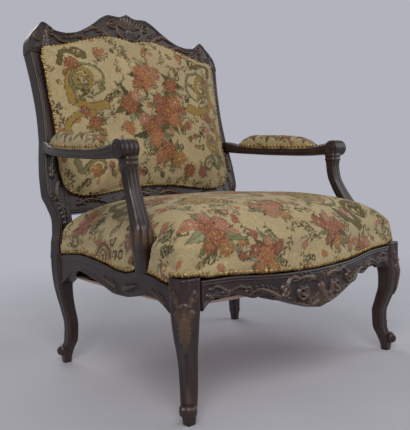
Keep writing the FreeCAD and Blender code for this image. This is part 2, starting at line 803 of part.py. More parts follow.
def inner_outline():
    notch = size("corner_notch")
    gap = size("hessian_clearance")
    front = front_face + rail_thickness + gap
    back = back_rail_low_y - gap
    half_front = side_outer_x(front + notch) - rail_thickness - gap
    half_back = side_outer_x(back - notch) - rail_thickness - gap
    right = []
    for step in range(front_steps + 1):
        x = (half_front - notch) * step / front_steps
        bow = smooth_row(bow_shape, x / front_half)[1] * size("front_rail_bow")
        right.append((x, front - bow))
    right = right + [(half_front, front + notch), (half_back, back - notch), (half_back - notch, back)]
    return right + [(-x, y) for x, y in reversed(right)]


def build_hessian(lift, extra=0.0):
    outline = inner_outline()
    half_width = max(x for x, y in outline)
    sections = []
    for height, inset in hessian_shape:
        sections.append(drawn_in(outline, half_width, inset - extra, seat_rail_top + height + lift))
    return loft(sections)


hessian_thickness = size("hessian_thickness")
seat_hessian = build_hessian(0).cut(build_hessian(-hessian_thickness, -hessian_thickness))
hessian_room = build_hessian(cloth_clearance, cloth_clearance)


def largest_solid(shape):
    return max(shape.Solids, key=lambda solid: solid.Volume)


# One half is cut around the frame, and the other half is its mirror image.
def right_half(shape, rooms):
    half = shape.common(box((0, -far / 2, -far / 2), (far / 2, far / 2, far / 2)))
    for room in rooms:
        half = half.cut(room)
    return half


stuffing_inset = cover_thickness + cloth_clearance
side_rise = max(rise for share, rise in side_top_shape)
stuffing_low = seat_rail_top + side_rise + size("rebate_height") + 3 * cloth_clearance
below_stuffing = box((-far / 2, -far / 2, -10), (far / 2, far / 2, stuffing_low))
cover_half = right_half(build_seat(0), cover_rooms).cut(build_seat(cover_thickness))
cover_half = largest_solid(cover_half)
stuffing_half = largest_solid(right_half(
    build_seat(stuffing_inset), frame_rooms + [below_stuffing, hessian_room]))
seat_cover = largest_solid(cover_half.fuse(mirrored(cover_half)))
seat_stuffing = largest_solid(stuffing_half.fuse(mirrored(stuffing_half)))

# Upholstered back: the nailed outline in the plane of the back, then sections drawn in towards its crown.
back_outline_shape = (
    # share of the inner half width, share of the height from the lower rail to the stiles' tops
    (0.0, 0.02), (0.22, 0.018), (0.5, -0.008), (0.66, -0.023), (0.82, -0.027), (0.95, -0.01),
    (1.03, 0.03), (1.068, 0.11), (1.076, 0.25), (1.063, 0.44), (1.07, 0.6), (1.08, 0.78), (1.092, 0.93),
    (1.085, 1.02), (1.04, 1.05), (0.92, 1.058), (0.76, 1.09), (0.6, 1.125), (0.43, 1.158), (0.25, 1.18),
    (0.09, 1.166), (0.0, 1.153),
)
corner_indices = (7, 13)
bottom_points = 15
side_points = 9
top_points = 21
back_middle = stile_top * 0.56


def back_outline(front, inset):
    keep = 1 - inset / (stile_inner * 1.07)
    right = []
    for share_x, share_v in back_outline_shape:
        rise = back_middle + (share_v * stile_top - back_middle) * keep
        right.append(tuple(back_point(share_x * stile_inner * keep, rise, front)))
    left = [(-x, y, z) for x, y, z in right]
    first, second = corner_indices
    bottom = left[:first + 1][::-1] + right[1:first + 1]
    top = right[second:] + left[second:-1][::-1]
    return closed_outline(
        smooth_line(bottom, bottom_points),
        smooth_line(right[first:second + 1], side_points),
        smooth_line(top, top_points),
        smooth_line(left[first:second + 1][::-1], side_points),
    )


bulge = size("back_cushion_bulge")
back_shape = ((0.0, 0.0), (bulge * 0.38, 1.0), (bulge * 0.65, 12.0), (bulge * 0.86, 40.0), (bulge, 92.0))
back_sections = 7


def build_back(extra):
    sections = []
    for front, inset in smooth_rows(back_shape, back_sections):
        depth = cloth_clearance + (front - extra if front > 0 else 0)
        sections.append(back_outline(depth, inset + extra))
    return loft(sections)


back_room_mouth = Part.Face(back_outline(-1, cover_thickness)).extrude(back_front * 2)
back_room = build_back(cover_thickness).fuse(back_room_mouth)
back_cover = largest_solid(build_back(0).cut(back_room))
back_stuffing = build_back(cover_thickness + cloth_clearance)

# Under the stuffing, crossed webbing and hessian are tacked to the front of the frame, and a cloth covers
# the back of it.
def back_panel(low, high, inset):
    return Part.Face(back_outline(low, inset)).extrude(back_front * (high - low))


webbing_layer = size("webbing_thickness") + size("shoulder_gap")
hessian_front = 2 * webbing_layer + size("shoulder_gap")
back_lining_inset = cover_thickness + 5
stuffing_front = hessian_front + hessian_thickness + cloth_clearance
back_hessian = back_panel(hessian_front, hessian_front + hessian_thickness, back_lining_inset)
back_stuffing = back_stuffing.cut(
    Part.Face(back_outline(-1, -20)).extrude(back_front * (stuffing_front + 1)))


# Straps from the lower rail to the crest, and from stile to stile in front of them.
upright_straps = (
    # place as a share of the inner half width, lower and upper end as shares of the stiles' top
    (0.2, 0.03, 1.13),
    (0.6, 0.005, 1.09),
)
level_straps = (0.18, 0.4, 0.62, 0.84)


def build_back_webbing():
    half_width = size("back_webbing_width") / 2
    half_length = stile_inner * 1.03
    first_layer = size("shoulder_gap")
    second_layer = webbing_layer + size("shoulder_gap")
    straps = []
    for share, low, high in upright_straps:
        middle = share * stile_inner
        strap = back_box(
            (middle - half_width, low * stile_top, first_layer),
            (middle + half_width, high * stile_top, webbing_layer),
        )
        straps = straps + [strap, mirrored(strap)]
    for share in level_straps:
        middle = share * stile_top
        strap = back_box(
            (-half_length, middle - half_width, second_layer),
            (half_length, middle + half_width, 2 * webbing_layer),
        )
        straps.append(strap)
    return Part.Compound(straps)


back_webbing = build_back_webbing()
outside_front = -back_thickness - size("shoulder_gap")
outside_back_cloth = back_panel(outside_front - size("outside_cloth_thickness"), outside_front, 6.0)

# Arm pads: stuffing under a close-nailed cover.
pad_curve = (
    # share of the pad's length from its front, share of the full rise, share of the full width
    (0.0, 0.12, 0.62),
    (0.06, 0.55, 0.88),
    (0.2, 0.88, 1.0),
    (0.5, 1.0, 1.0),
    (0.8, 0.98, 0.98),
    (0.94, 0.62, 0.86),
    (1.0, 0.15, 0.58),
)
pad_sections = 9
crown_steps = 5


def arm_middle(place):
    share, inward, rise, width, height = smooth_row(arm_curve, (place - scroll_y) / arm_length)
    return arm_spread - inward, arm_height + rise + height / 2


def build_pad(extra, sink):
    sections = []
    length = size("arm_pad_back") - size("arm_pad_front")
    for share, rise, width in smooth_rows(pad_curve, pad_sections):
        place = size("arm_pad_front") + extra + share * (length - 2 * extra)
        x, top = arm_middle(place)
        half = size("arm_pad_width") / 2 * width - extra
        height = size("arm_pad_rise") * rise - extra
        base = top - sink
        shoulder = top + height * 0.55
        crown = top + height
        points = [(x - half, place, base), (x + half, place, base)]
        for step in range(crown_steps + 1):
            angle = pi * step / crown_steps
            points.append((x + half * cos(angle), place, shoulder + (crown - shoulder) * sin(angle)))
        sections.append(closed_outline(points))
    return loft(sections)


pad_sink = 5.0
pad_cover = size("arm_pad_cover_thickness")
arm_room = build_arm(cloth_clearance)
arm_pad_cover = build_pad(0, pad_sink).cut(build_pad(pad_cover, 2 * pad_sink))
arm_pad_cover = largest_solid(arm_pad_cover.cut(arm_room))
arm_pad_stuffing = largest_solid(build_pad(pad_cover + cloth_clearance, pad_sink).cut(arm_room))

# Under the seat: crossed webbing tacked below the ledges, a sagging bottom cloth, and nine springs.
webbing_thickness = size("webbing_thickness")
cross_top = ledge_bottom - size("shoulder_gap")
length_top = cross_top - webbing_thickness - size("shoulder_gap")
cloth_top = length_top - webbing_thickness - cloth_clearance


def bottom_outline():
    hold = size("rail_face_thickness") + 4
    front_notch = size("front_leg_block") - 2
    back_notch = size("back_leg_block") - 6
    front = front_face + hold
    back = back_y - 3
    half_front = side_front_x - hold
    half_back = side_back_x - hold
    right = [
        (half_front - front_notch, front),
        (half_front, front + front_notch),
        (half_back, back - back_notch),
        (half_back - back_notch, back),
    ]
    return right + [(-x, y) for x, y in reversed(right)]


sag = size("bottom_cloth_sag")
cloth_levels = ((0.0, 0.0), (0.35, 26.0), (0.8, 80.0), (1.0, 150.0))
cloth_thickness = size("bottom_cloth_thickness")


def build_bottom_cloth(lift):
    outline = bottom_outline()
    half_width = max(x for x, y in outline)
    sections = []
    for share, inset in cloth_levels:
        sections.append(drawn_in(outline, half_width, inset, cloth_top + lift - share * sag))
    return loft(sections)


bottom_cloth = build_bottom_cloth(0).cut(build_bottom_cloth(cloth_thickness))

# Seat spring: an hourglass of one unbroken wire.
spring_foot = cross_top + size("spring_wire") + cloth_clearance
spring_head = seat_rail_top + hessian_rise - hessian_thickness - size("spring_wire") - cloth_clearance
spring_turns = 3
steps_per_turn = 6
wire_sides = 4


def spring_solid(x, y):
    steps = spring_turns * steps_per_turn
    wire = size("spring_wire")
    waist = size("spring_waist")
    swell = size("spring_radius") - waist
    rings = []
    for step in range(steps + 1):
        share = step / steps
        angle = 2 * pi * spring_turns * share
        radius = waist + swell * (2 * share - 1) ** 2
        outward = Vector(cos(angle), sin(angle), 0)
        centre = Vector(x, y, spring_foot + (spring_head - spring_foot) * share) + outward * radius
        ring = []
        for side in range(wire_sides):
            turn = 2 * pi * side / wire_sides
            ring.append(centre + outward * (wire * cos(turn)) + Vector(0, 0, wire * sin(turn)))
        rings.append(Part.makePolygon(ring + ring[:1]))
    return loft(rings)


spring_middle_y = (side_front_y + side_back_y) / 2
spring_pitch = size("spring_pitch")
springs = []
for column in (-1, 0, 1):
    for rank in (-1, 0, 1):
        springs.append(spring_solid(column * spring_pitch, spring_middle_y + rank * spring_pitch))
seat_springs = Part.Compound(springs)

# Pegs cross each tenon of the seat frame from the outside face.
peg_middle = (tenon_low + tenon_high) / 2 - 2
peg_stand = 0.4
peg_places = (
    # point on the axis at the outer end, direction inwards
    (
        Vector(front_half + tenon_length / 2, front_y - half_front_block + peg_stand, peg_middle),
        Vector(0, 1, 0),
    ),
    (
        Vector(front_x + half_front_block - peg_stand, side_front_y - tenon_length / 2 - 2, peg_middle),
        Vector(-1, 0, 0),
    ),
    (
        Vector(back_x + half_back_block - peg_stand, side_back_y + tenon_length / 2 + 2, peg_middle),
        Vector(-1, 0, 0),
    ),
    (
        Vector(back_rail_half + tenon_length / 2 - 1, back_y + half_back_block - peg_stand, peg_middle + 6),
        Vector(0, -1, 0),
    ),
)
peg_radius = size("peg_radius")
hole_radius = peg_radius + size("peg_clearance")
hole_lead = 5.0
hole_length = size("peg_length") + hole_lead + cloth_clearance
for start, direction in peg_places:
    hole = Part.makeCylinder(hole_radius, hole_length, start - direction * hole_lead, direction)
    front_leg = front_leg.cut(hole)
    post = post.cut(hole)
    side_rail = side_rail.cut(hole)
    front_rail = front_rail.cut(hole).cut(mirrored(hole))
    back_rail = back_rail.cut(hole).cut(mirrored(hole))

# Document objects: built-up shapes first, each with its own label, then the pieces made of plain primitives.
pieces = {}


def add_piece(label, shape):
    feature = doc.addObject("Part::Feature", label)
    feature.Label = label
    feature.Shape = shape
    pieces[label] = feature


def add_pair(label, right_shape):
    add_piece(label + "_right", right_shape)
    add_piece(label + "_left", mirrored(right_shape))


def add_group(label, members):
    group = doc.addObject("Part::Compound", label)
    group.Label = label
    group.Links = members
    pieces[label] = group


add_pair("front_leg", front_leg)
add_pair("back_post", post)
add_piece("front_seat_rail", front_rail)
add_pair("side_seat_rail", side_rail)
add_piece("back_seat_rail", back_rail)
add_piece("crest_rail", crest_rail)
add_piece("lower_back_rail", lower_back_rail)
add_pair("arm", arm)
add_pair("arm_support", arm_support)
add_piece("seat_cover", seat_cover)
add_piece("seat_stuffing", seat_stuffing)
add_piece("seat_hessian", seat_hessian)
add_piece("seat_springs", seat_springs)
add_piece("bottom_cloth", bottom_cloth)
add_piece("back_cover", back_cover)
add_piece("back_stuffing", back_stuffing)
add_piece("back_hessian", back_hessian)
add_piece("back_webbing", back_webbing)
add_piece("outside_back_cloth", outside_back_cloth)
add_pair("arm_pad_cover", arm_pad_cover)
add_pair("arm_pad_stuffing", arm_pad_stuffing)

pegs = []
for start, direction in peg_places:
    for side in (1, -1):
        peg = doc.addObject("Part::Prism", "peg")
        peg.Polygon = 8
        peg.setExpression("Circumradius", "Sizes.peg_radius")
        peg.setExpression("Height", "Sizes.peg_length")
        place = Vector(side * start.x, start.y, start.z)
        heading = Vector(side * direction.x, direction.y, direction.z)
        peg.Placement = Placement(place, Rotation(Vector(0, 0, 1), heading))
        pegs.append(peg)
add_group("joint_pegs", pegs)


# Webbing straps of one direction, as boxes from a low corner with a length.
def add_straps(label, straps, along_x):
    members = []
    for corner, length in straps:
        strap = doc.addObject("Part::Box", "strap")
        strap.setExpression("Width" if along_x else "Length", "Sizes.webbing_width")
        strap.setExpression("Height", "Sizes.webbing_thickness")
        if along_x:
            strap.Length = length
        else:
            strap.Width = length
        strap.Placement = Placement(corner, Rotation())
        members.append(strap)
    add_group(label, members)


webbing_width = size("webbing_width")
webbing_spacing = size("webbing_spacing")
strap_hold = size("rail_face_thickness") + 1.5
length_straps = []
cross_straps = []
for step in (-1.5, -0.5, 0.5, 1.5):
    x = step * webbing_spacing
    outer_share = min((abs(x) + webbing_width / 2) / front_half, 1.0)
    start_y = front_face - smooth_row(bow_shape, outer_share)[1] * size("front_rail_bow") + strap_hold
    end_y = back_y + size("back_rail_thickness") / 2 - 6
    corner = Vector(x - webbing_width / 2, start_y, length_top - webbing_thickness)
    length_straps.append((corner, end_y - start_y))
    y = spring_middle_y + step * webbing_spacing
    half = side_outer_x(y + webbing_width / 2) - strap_hold
    cross_straps.append((Vector(-half, y - webbing_width / 2, cross_top - webbing_thickness), 2 * half))
add_straps("seat_webbing_lengthwise", length_straps, False)
add_straps("seat_webbing_crosswise", cross_straps, True)


# Corner blocks are glued inside the seat frame, notched round the legs: a pinned outline, padded upwards.
def add_corner_block(label, outline):
    body = doc.addObject("PartDesign::Body", label)
    body.Label = label
    plane = [item for item in body.Origin.OriginFeatures if item.Role == "XY_Plane"][0]
    sketch = body.newObject("Sketcher::SketchObject", label + "_outline")
    sketch.AttachmentSupport = [(plane, "")]
    sketch.MapMode = "FlatFace"
    corners = [Vector(x, y, 0) for x, y in outline]
    for index, corner in enumerate(corners):
        sketch.addGeometry(Part.LineSegment(corner, corners[(index + 1) % len(corners)]), False)
    for index, corner in enumerate(corners):
        sketch.addConstraint(Sketcher.Constraint("Coincident", index, 2, (index + 1) % len(corners), 1))
        sketch.addConstraint(Sketcher.Constraint("DistanceX", index, 1, corner.x))
        sketch.addConstraint(Sketcher.Constraint("DistanceY", index, 1, corner.y))
    pad = body.newObject("PartDesign::Pad", label + "_pad")
    pad.Profile = sketch
    pad.setExpression("Length", "Sizes.corner_block_height")
    sketch.Visibility = False
    body.Placement = Placement(Vector(0, 0, ledge_bottom + 4), Rotation())
    pieces[label] = body


block_leg = size("corner_block_leg")
glue_gap = size("glue_gap")


def side_inner_x(place):
    return side_outer_x(place) - rail_thickness - glue_gap


front_inner_y = front_face + rail_thickness + glue_gap
front_notch = (front_x - half_front_block - glue_gap, front_y + half_front_block + glue_gap)
back_notch = (back_x - half_back_block - glue_gap, back_y - half_back_block - glue_gap)
back_inner_y = back_rail_low_y - glue_gap
front_block_outline = [
    (front_notch[0] - block_leg, front_inner_y),
    (front_notch[0], front_inner_y),
    front_notch,
    (side_inner_x(front_notch[1]), front_notch[1]),
    (side_inner_x(front_notch[1] + block_leg), front_notch[1] + block_leg),
]
back_block_outline = [
    (side_inner_x(back_notch[1] - block_leg), back_notch[1] - block_leg),
    (side_inner_x(back_notch[1]), back_notch[1]),
    back_notch,
    (back_notch[0], back_inner_y),
    (back_notch[0] - block_leg, back_inner_y),
]
for label, outline in (("front", front_block_outline), ("back", back_block_outline)):
    add_corner_block(f"corner_block_{label}_right", outline)
    add_corner_block(f"corner_block_{label}_left", [(-x, y) for x, y in reversed(outline)])

doc.recompute()

# Every object must have recomputed, and every piece must be a sound shape, before anything is written.
for item in doc.Objects:
    if "Invalid" in item.State or "Error" in item.State:
        raise RuntimeError(f"{item.Label} failed: {item.State}")
for label, piece in pieces.items():
    if piece.Shape.isNull() or not piece.Shape.isValid() or not piece.Shape.Solids:
        raise RuntimeError(f"{label} has no sound shape")

# The origin goes on the floor below the middle of the whole chair's outline.
lowest = []
highest = []
for piece in pieces.values():
    points = piece.Shape.tessellate(curve_fineness)[0]
    lowest.append(min(point.y for point in points))
    highest.append(max(point.y for point in points))
middle_y = (min(lowest) + max(highest)) / 2
print("middle of the outline in Y:", round(middle_y, 3))
for label, piece in pieces.items():
    placement = piece.Placement
    placement.Base = placement.Base - Vector(0, middle_y, 0)
    piece.Placement = placement
doc.recompute()

for label, piece in pieces.items():
    shape = piece.Shape
    print(f"{label}: {len(shape.Solids)} solids, {shape.Volume / 1000:.1f} cm3")
    shape.exportStep(f"parts/{label}.step")
print("pieces:", len(pieces))
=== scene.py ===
import json
import math

import bmesh
import bpy
import numpy as np
from mathutils import Matrix, Vector
from mathutils.bvhtree import BVHTree


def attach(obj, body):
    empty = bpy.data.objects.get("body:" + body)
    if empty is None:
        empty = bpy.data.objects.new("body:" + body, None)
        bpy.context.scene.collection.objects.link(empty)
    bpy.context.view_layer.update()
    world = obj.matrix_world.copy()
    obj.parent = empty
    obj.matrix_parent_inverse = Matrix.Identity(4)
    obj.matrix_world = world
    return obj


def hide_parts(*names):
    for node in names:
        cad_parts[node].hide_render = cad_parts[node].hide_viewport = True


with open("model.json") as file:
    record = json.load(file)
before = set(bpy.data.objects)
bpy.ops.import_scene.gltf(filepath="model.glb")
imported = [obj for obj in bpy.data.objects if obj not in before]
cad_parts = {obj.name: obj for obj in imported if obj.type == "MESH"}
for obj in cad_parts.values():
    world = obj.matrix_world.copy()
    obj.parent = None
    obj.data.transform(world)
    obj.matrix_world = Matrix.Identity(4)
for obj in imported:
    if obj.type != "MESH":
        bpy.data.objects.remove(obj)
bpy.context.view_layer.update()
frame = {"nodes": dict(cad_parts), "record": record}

scene = bpy.context.scene
middleY = 59.459  # shapes are worked out in mm from a zero that lies this far in front of the frame's zero


def inMillimetres(coords):
    return coords * 1000 + np.array([0, middleY, 0])


def inMetres(coords):
    return (coords - np.array([0, middleY, 0])) / 1000


def linear(r, g, b):  # a colour from a screen, 0 to 255, as linear light
    return tuple(((c / 255 + 0.055) / 1.055) ** 2.4 if c > 10 else c / 3294 for c in (r, g, b))


camera = {
    "place": (-1.0911, -1.23026, 0.496), "yaw": 0.7220, "pitch": 0.0748, "roll": -0.0313,
    "focal": 623.99, "pictureSide": 430, "sensor": 36,  # focal length in pixels of a picture with that longer side
}
lamps = {  # place, aim, size in m, watts, tint
    "key": ((-1.6, -1.9, 2.3), (0, 0, 0.4), 1.6, 46, (1, 0.98, 0.95)),
    "fill": ((2.2, -1.6, 1.6), (0, 0, 0.4), 2.2, 22, (0.95, 0.97, 1)),
    "rim": ((0.6, 2.2, 2.2), (0, 0, 0.6), 1.8, 22, (1, 1, 1)),
}
room = {"light": (0.80, 0.81, 0.84), "strength": 0.42, "backdrop": linear(178, 179, 189)}


def addCamera():
    yaw, pitch, roll = camera["yaw"], camera["pitch"], camera["roll"]
    forward = Vector((math.sin(yaw) * math.cos(pitch), math.cos(yaw) * math.cos(pitch), -math.sin(pitch)))
    level = Vector((math.cos(yaw), -math.sin(yaw), 0))
    up = level.cross(forward)
    right = level * math.cos(roll) + up * math.sin(roll)
    top = up * math.cos(roll) - level * math.sin(roll)
    data = bpy.data.cameras.new("camera")
    data.sensor_width = camera["sensor"]
    data.lens = camera["focal"] / camera["pictureSide"] * camera["sensor"]
    item = bpy.data.objects.new("camera", data)
    turn = Matrix((right, top, -forward)).transposed().to_4x4()
    item.matrix_world = Matrix.Translation(Vector(camera["place"])) @ turn
    scene.collection.objects.link(item)
    scene.camera = item


def addLamp(name, place, aim, size, watts, tint):
    data = bpy.data.lights.new(name, "AREA")
    data.size = size
    data.energy = watts
    data.color = tint
    item = bpy.data.objects.new(name, data)
    item.location = place
    item.rotation_euler = (Vector(aim) - Vector(place)).to_track_quat("-Z", "Y").to_euler()
    scene.collection.objects.link(item)


def addRoom():  # a soft light all round, and a plain backdrop where the camera looks past the chair
    scene.view_settings.view_transform = "Standard"
    scene.world = bpy.data.worlds.new("room")
    scene.world.use_nodes = True
    tree = scene.world.node_tree
    tree.nodes.clear()
    paths = tree.nodes.new("ShaderNodeLightPath")
    light, sight = tree.nodes.new("ShaderNodeBackground"), tree.nodes.new("ShaderNodeBackground")
    light.inputs[0].default_value = (*room["light"], 1)
    light.inputs[1].default_value = room["strength"]
    sight.inputs[0].default_value = (*room["backdrop"], 1)
    sight.inputs[1].default_value = 1.0
    mixer = tree.nodes.new("ShaderNodeMixShader")
    output = tree.nodes.new("ShaderNodeOutputWorld")
    tree.links.new(paths.outputs["Is Camera Ray"], mixer.inputs[0])
    tree.links.new(light.outputs[0], mixer.inputs[1])
    tree.links.new(sight.outputs[0], mixer.inputs[2])
    tree.links.new(mixer.outputs[0], output.inputs[0])


addCamera()
addRoom()
for name, settings in lamps.items():
    addLamp(name, *settings)
print("stage: camera and light")


def newMaterial(name):
    material = bpy.data.materials.new(name)
    material.use_nodes = True
    return material, material.node_tree, material.node_tree.nodes["Principled BSDF"]


def node(tree, kind, **values):
    item = tree.nodes.new(kind)
    for key, value in values.items():
        if key in item.inputs:
            item.inputs[key].default_value = value
        else:
            setattr(item, key, value)
    return item


def objectCoordinates(tree, stretch=(1, 1, 1)):
    coordinates = node(tree, "ShaderNodeTexCoord")
    mapping = node(tree, "ShaderNodeMapping")
    mapping.inputs["Scale"].default_value = stretch
    tree.links.new(coordinates.outputs["Object"], mapping.inputs["Vector"])
    return mapping.outputs["Vector"]


def noiseOn(tree, stretch=(1, 1, 1), **values):
    item = node(tree, "ShaderNodeTexNoise", **values)
    tree.links.new(objectCoordinates(tree, stretch), item.inputs["Vector"])
    return item.outputs["Fac"]


def ramp(tree, source, stops):
    item = node(tree, "ShaderNodeValToRGB")
    elements = item.color_ramp.elements
    while len(elements) < len(stops):
        elements.new(0.5)
    for element, (place, color) in zip(elements, stops):
        element.position = place
        element.color = (*color, 1)
    tree.links.new(source, item.inputs["Fac"])
    return item.outputs["Color"]


def blendColor(tree, factor, first, second, mode="MIX"):
    item = node(tree, "ShaderNodeMix", data_type="RGBA", blend_type=mode)
    if isinstance(factor, float):
        item.inputs["Factor"].default_value = factor
    else:
        tree.links.new(factor, item.inputs["Factor"])
    for socket, value in ((item.inputs[6], first), (item.inputs[7], second)):
        if isinstance(value, tuple):
            socket.default_value = (*value, 1)
        else:
            tree.links.new(value, socket)
    return item.outputs[2]


def bump(tree, shader, source, strength, distance):
    item = node(tree, "ShaderNodeBump", Strength=strength, Distance=distance)
    tree.links.new(source, item.inputs["Height"])
    tree.links.new(item.outputs["Normal"], shader.inputs["Normal"])


def setShader(shader, **values):
    for key, value in values.items():
        shader.inputs[key].default_value = value


# the hollow and high-spot colours are painted shade and painted highlight, driven by the relief attribute
walnutFinishAndPaintedLight = {
    "deep": linear(19, 12, 11), "body": linear(50, 29, 23), "light": linear(70, 41, 30),
    "paintedHighlight": linear(104, 78, 54), "paintedHollowShade": (0.30, 0.27, 0.26), "coat": 0.22, "coatRoughness": 0.28,
}


def walnutMaterial():  # painted shade darkens the hollows of the carving, and a painted highlight lightens its high spots
    material, tree, shader = newMaterial("carvedWalnut")
    grain = noiseOn(tree, (1, 1, 0.16), Scale=38.0, Detail=6.0, Roughness=0.62, Distortion=0.6)
    figure = noiseOn(tree, (1, 1, 0.5), Scale=7.0, Detail=3.0)
    finish = walnutFinishAndPaintedLight
    tone = ramp(tree, grain, [(0.28, finish["deep"]), (0.55, finish["body"]), (0.85, finish["light"])])
    patch = ramp(tree, figure, [(0.35, (0.62, 0.60, 0.60)), (0.68, (1.15, 1.08, 1.02))])
    tone = blendColor(tree, 0.75, tone, patch, "MULTIPLY")
    relief = node(tree, "ShaderNodeAttribute", attribute_name="relief").outputs["Fac"]
    # painted shade: low relief darkens the carving's hollows
    paintedHollowShade = ramp(tree, relief, [(0.12, finish["paintedHollowShade"]), (0.42, (1, 1, 1))])
    tone = blendColor(tree, 1.0, tone, paintedHollowShade, "MULTIPLY")
    # painted highlight: high relief is lightened towards a pale brown
    paintedHighlightShare = ramp(tree, relief, [(0.66, (0, 0, 0)), (1.0, (0.6, 0.6, 0.6))])
    tone = blendColor(tree, paintedHighlightShare, tone, finish["paintedHighlight"])
    tree.links.new(tone, shader.inputs["Base Color"])
    shine = ramp(tree, grain, [(0.2, (0.30, 0.30, 0.30)), (0.8, (0.46, 0.46, 0.46))])
    tree.links.new(shine, shader.inputs["Roughness"])
    setShader(shader, **{"Coat Weight": finish["coat"], "Coat Roughness": finish["coatRoughness"]})
    bump(tree, shader, grain, 0.22, 0.0006)
    return material


def twoToneMaterial(name, noise, dark, light, roughness):
    material, tree, shader = newMaterial(name)
    stretch = noise.get("stretch", (1, 1, 1))
    source = noiseOn(tree, stretch, **{key: value for key, value in noise.items() if key != "stretch"})
    tone = ramp(tree, source, [(0.3, dark), (0.7, light)])
    tree.links.new(tone, shader.inputs["Base Color"])
    setShader(shader, Roughness=roughness)
    return material, tree, shader, source


def plainWoodMaterial(name, dark, light):
    noise = {"stretch": (0.12, 1, 1), "Scale": 60.0, "Detail": 5.0, "Distortion": 0.4}
    material, tree, shader, grain = twoToneMaterial(name, noise, dark, light, 0.62)
    bump(tree, shader, grain, 0.15, 0.0005)
    return material


def weaveHeight(tree, count):  # threads that cross, as waves along the three axes
    vector = objectCoordinates(tree)
    total = None
    for direction in ("X", "Z", "Y"):
        wave = node(tree, "ShaderNodeTexWave", bands_direction=direction, Scale=count, Distortion=0.35)
        tree.links.new(vector, wave.inputs["Vector"])
        if total is None:
            total = wave.outputs["Fac"]
            continue
        added = node(tree, "ShaderNodeMath", operation="ADD")
        tree.links.new(total, added.inputs[0])
        tree.links.new(wave.outputs["Fac"], added.inputs[1])
        total = added.outputs[0]
    return total


def tapestryMaterial():
    material, tree, shader = newMaterial("floralTapestry")
    woven = node(tree, "ShaderNodeAttribute", attribute_name="weaveColor").outputs["Color"]
    mottle = noiseOn(tree, Scale=260.0, Detail=4.0, Roughness=0.7)
    fade = noiseOn(tree, Scale=9.0, Detail=3.0)
    threads = ramp(tree, mottle, [(0.25, (0.66, 0.64, 0.60)), (0.75, (1.22, 1.2, 1.16))])
    faded = ramp(tree, fade, [(0.3, (0.86, 0.85, 0.84)), (0.7, (1.08, 1.07, 1.05))])
    tone = blendColor(tree, 0.85, woven, threads, "MULTIPLY")
    tone = blendColor(tree, 1.0, tone, faded, "MULTIPLY")
    tree.links.new(tone, shader.inputs["Base Color"])
    setShader(shader, **{"Roughness": 0.94, "Sheen Weight": 0.12, "Specular IOR Level": 0.2})
    bump(tree, shader, weaveHeight(tree, 210.0), 0.35, 0.0005)
    return material


def clothMaterial(name, dark, light, threads, strength):
    noise = {"Scale": 140.0, "Detail": 4.0}
    material, tree, shader, _ = twoToneMaterial(name, noise, dark, light, 0.93)
    bump(tree, shader, weaveHeight(tree, threads), strength, 0.0006)
    return material


def metalMaterial(name, dark, light, roughness):
    noise = {"Scale": 90.0, "Detail": 4.0}
    material, tree, shader, tarnish = twoToneMaterial(name, noise, dark, light, roughness)
    setShader(shader, Metallic=1.0)
    bump(tree, shader, tarnish, 0.12, 0.0003)
    return material


def floorMaterial(near=0.75, far=2.1):  # pale floor that fades into the backdrop, for the camera only
    material, tree, shader = newMaterial("paleFloor")
    patches = noiseOn(tree, Scale=3.0, Detail=2.0)
    tone = ramp(tree, patches, [(0.3, linear(184, 184, 192)), (0.7, linear(190, 190, 197))])
    tree.links.new(tone, shader.inputs["Base Color"])
    setShader(shader, **{"Roughness": 0.9, "Specular IOR Level": 0.1})
    distance = node(tree, "ShaderNodeVectorMath", operation="LENGTH")
    tree.links.new(objectCoordinates(tree), distance.inputs[0])
    fade = node(tree, "ShaderNodeMapRange", interpolation_type="SMOOTHSTEP")
    fade.inputs["From Min"].default_value = near
    fade.inputs["From Max"].default_value = far
    tree.links.new(distance.outputs["Value"], fade.inputs["Value"])
    paths = node(tree, "ShaderNodeLightPath")
    share = node(tree, "ShaderNodeMath", operation="MULTIPLY")
    tree.links.new(fade.outputs[0], share.inputs[0])
    tree.links.new(paths.outputs["Is Camera Ray"], share.inputs[1])
    haze = node(tree, "ShaderNodeEmission")
    haze.inputs["Color"].default_value = (*room["backdrop"], 1)
    mixer = node(tree, "ShaderNodeMixShader")
    tree.links.new(share.outputs[0], mixer.inputs[0])
    tree.links.new(shader.outputs[0], mixer.inputs[1])
    tree.links.new(haze.outputs[0], mixer.inputs[2])
    tree.links.new(mixer.outputs[0], tree.nodes["Material Output"].inputs[0])
    return material


walnut = walnutMaterial()
stainedBeech = plainWoodMaterial("stainedBeech", linear(34, 22, 18), linear(62, 40, 30))
tapestry = tapestryMaterial()
lining = clothMaterial("liningCloth", linear(196, 162, 146), linear(212, 180, 164), 240.0, 0.25)
backCloth = clothMaterial("outsideBackCloth", linear(140, 120, 86), linear(158, 138, 102), 240.0, 0.3)
brass = metalMaterial("antiqueBrass", linear(120, 88, 44), linear(214, 182, 116), 0.34)
slotMaterials = {
    "carved_walnut": walnut,
    "plain_beech": plainWoodMaterial("plainBeech", linear(104, 78, 54), linear(150, 118, 84)),
    "tapestry": tapestry,
    "hair_stuffing": clothMaterial("hairStuffing", linear(104, 86, 66), linear(150, 130, 104), 90.0, 0.4),
    "hessian": clothMaterial("hessian", linear(120, 92, 58), linear(172, 140, 98), 130.0, 0.6),
    "webbing": clothMaterial("webbing", linear(96, 80, 60), linear(146, 124, 94), 150.0, 0.5),
    "lining_cloth": lining,
    "spring_steel": metalMaterial("springSteel", linear(92, 86, 80), linear(140, 134, 126), 0.5),
}
slotOf = {item["node"]: item["material_slot"] for item in frame["record"]["subparts"]}
for name, item in frame["nodes"].items():
    item.data.materials.clear()
    item.data.materials.append(stainedBeech if name == "back_seat_rail" else slotMaterials[slotOf[name]])
print("stage: materials")

bpy.ops.mesh.primitive_plane_add(size=40, location=(0, 0, 0))
floor = bpy.context.object
floor.name = "paleFloorPlane"
floor.data.materials.append(floorMaterial())


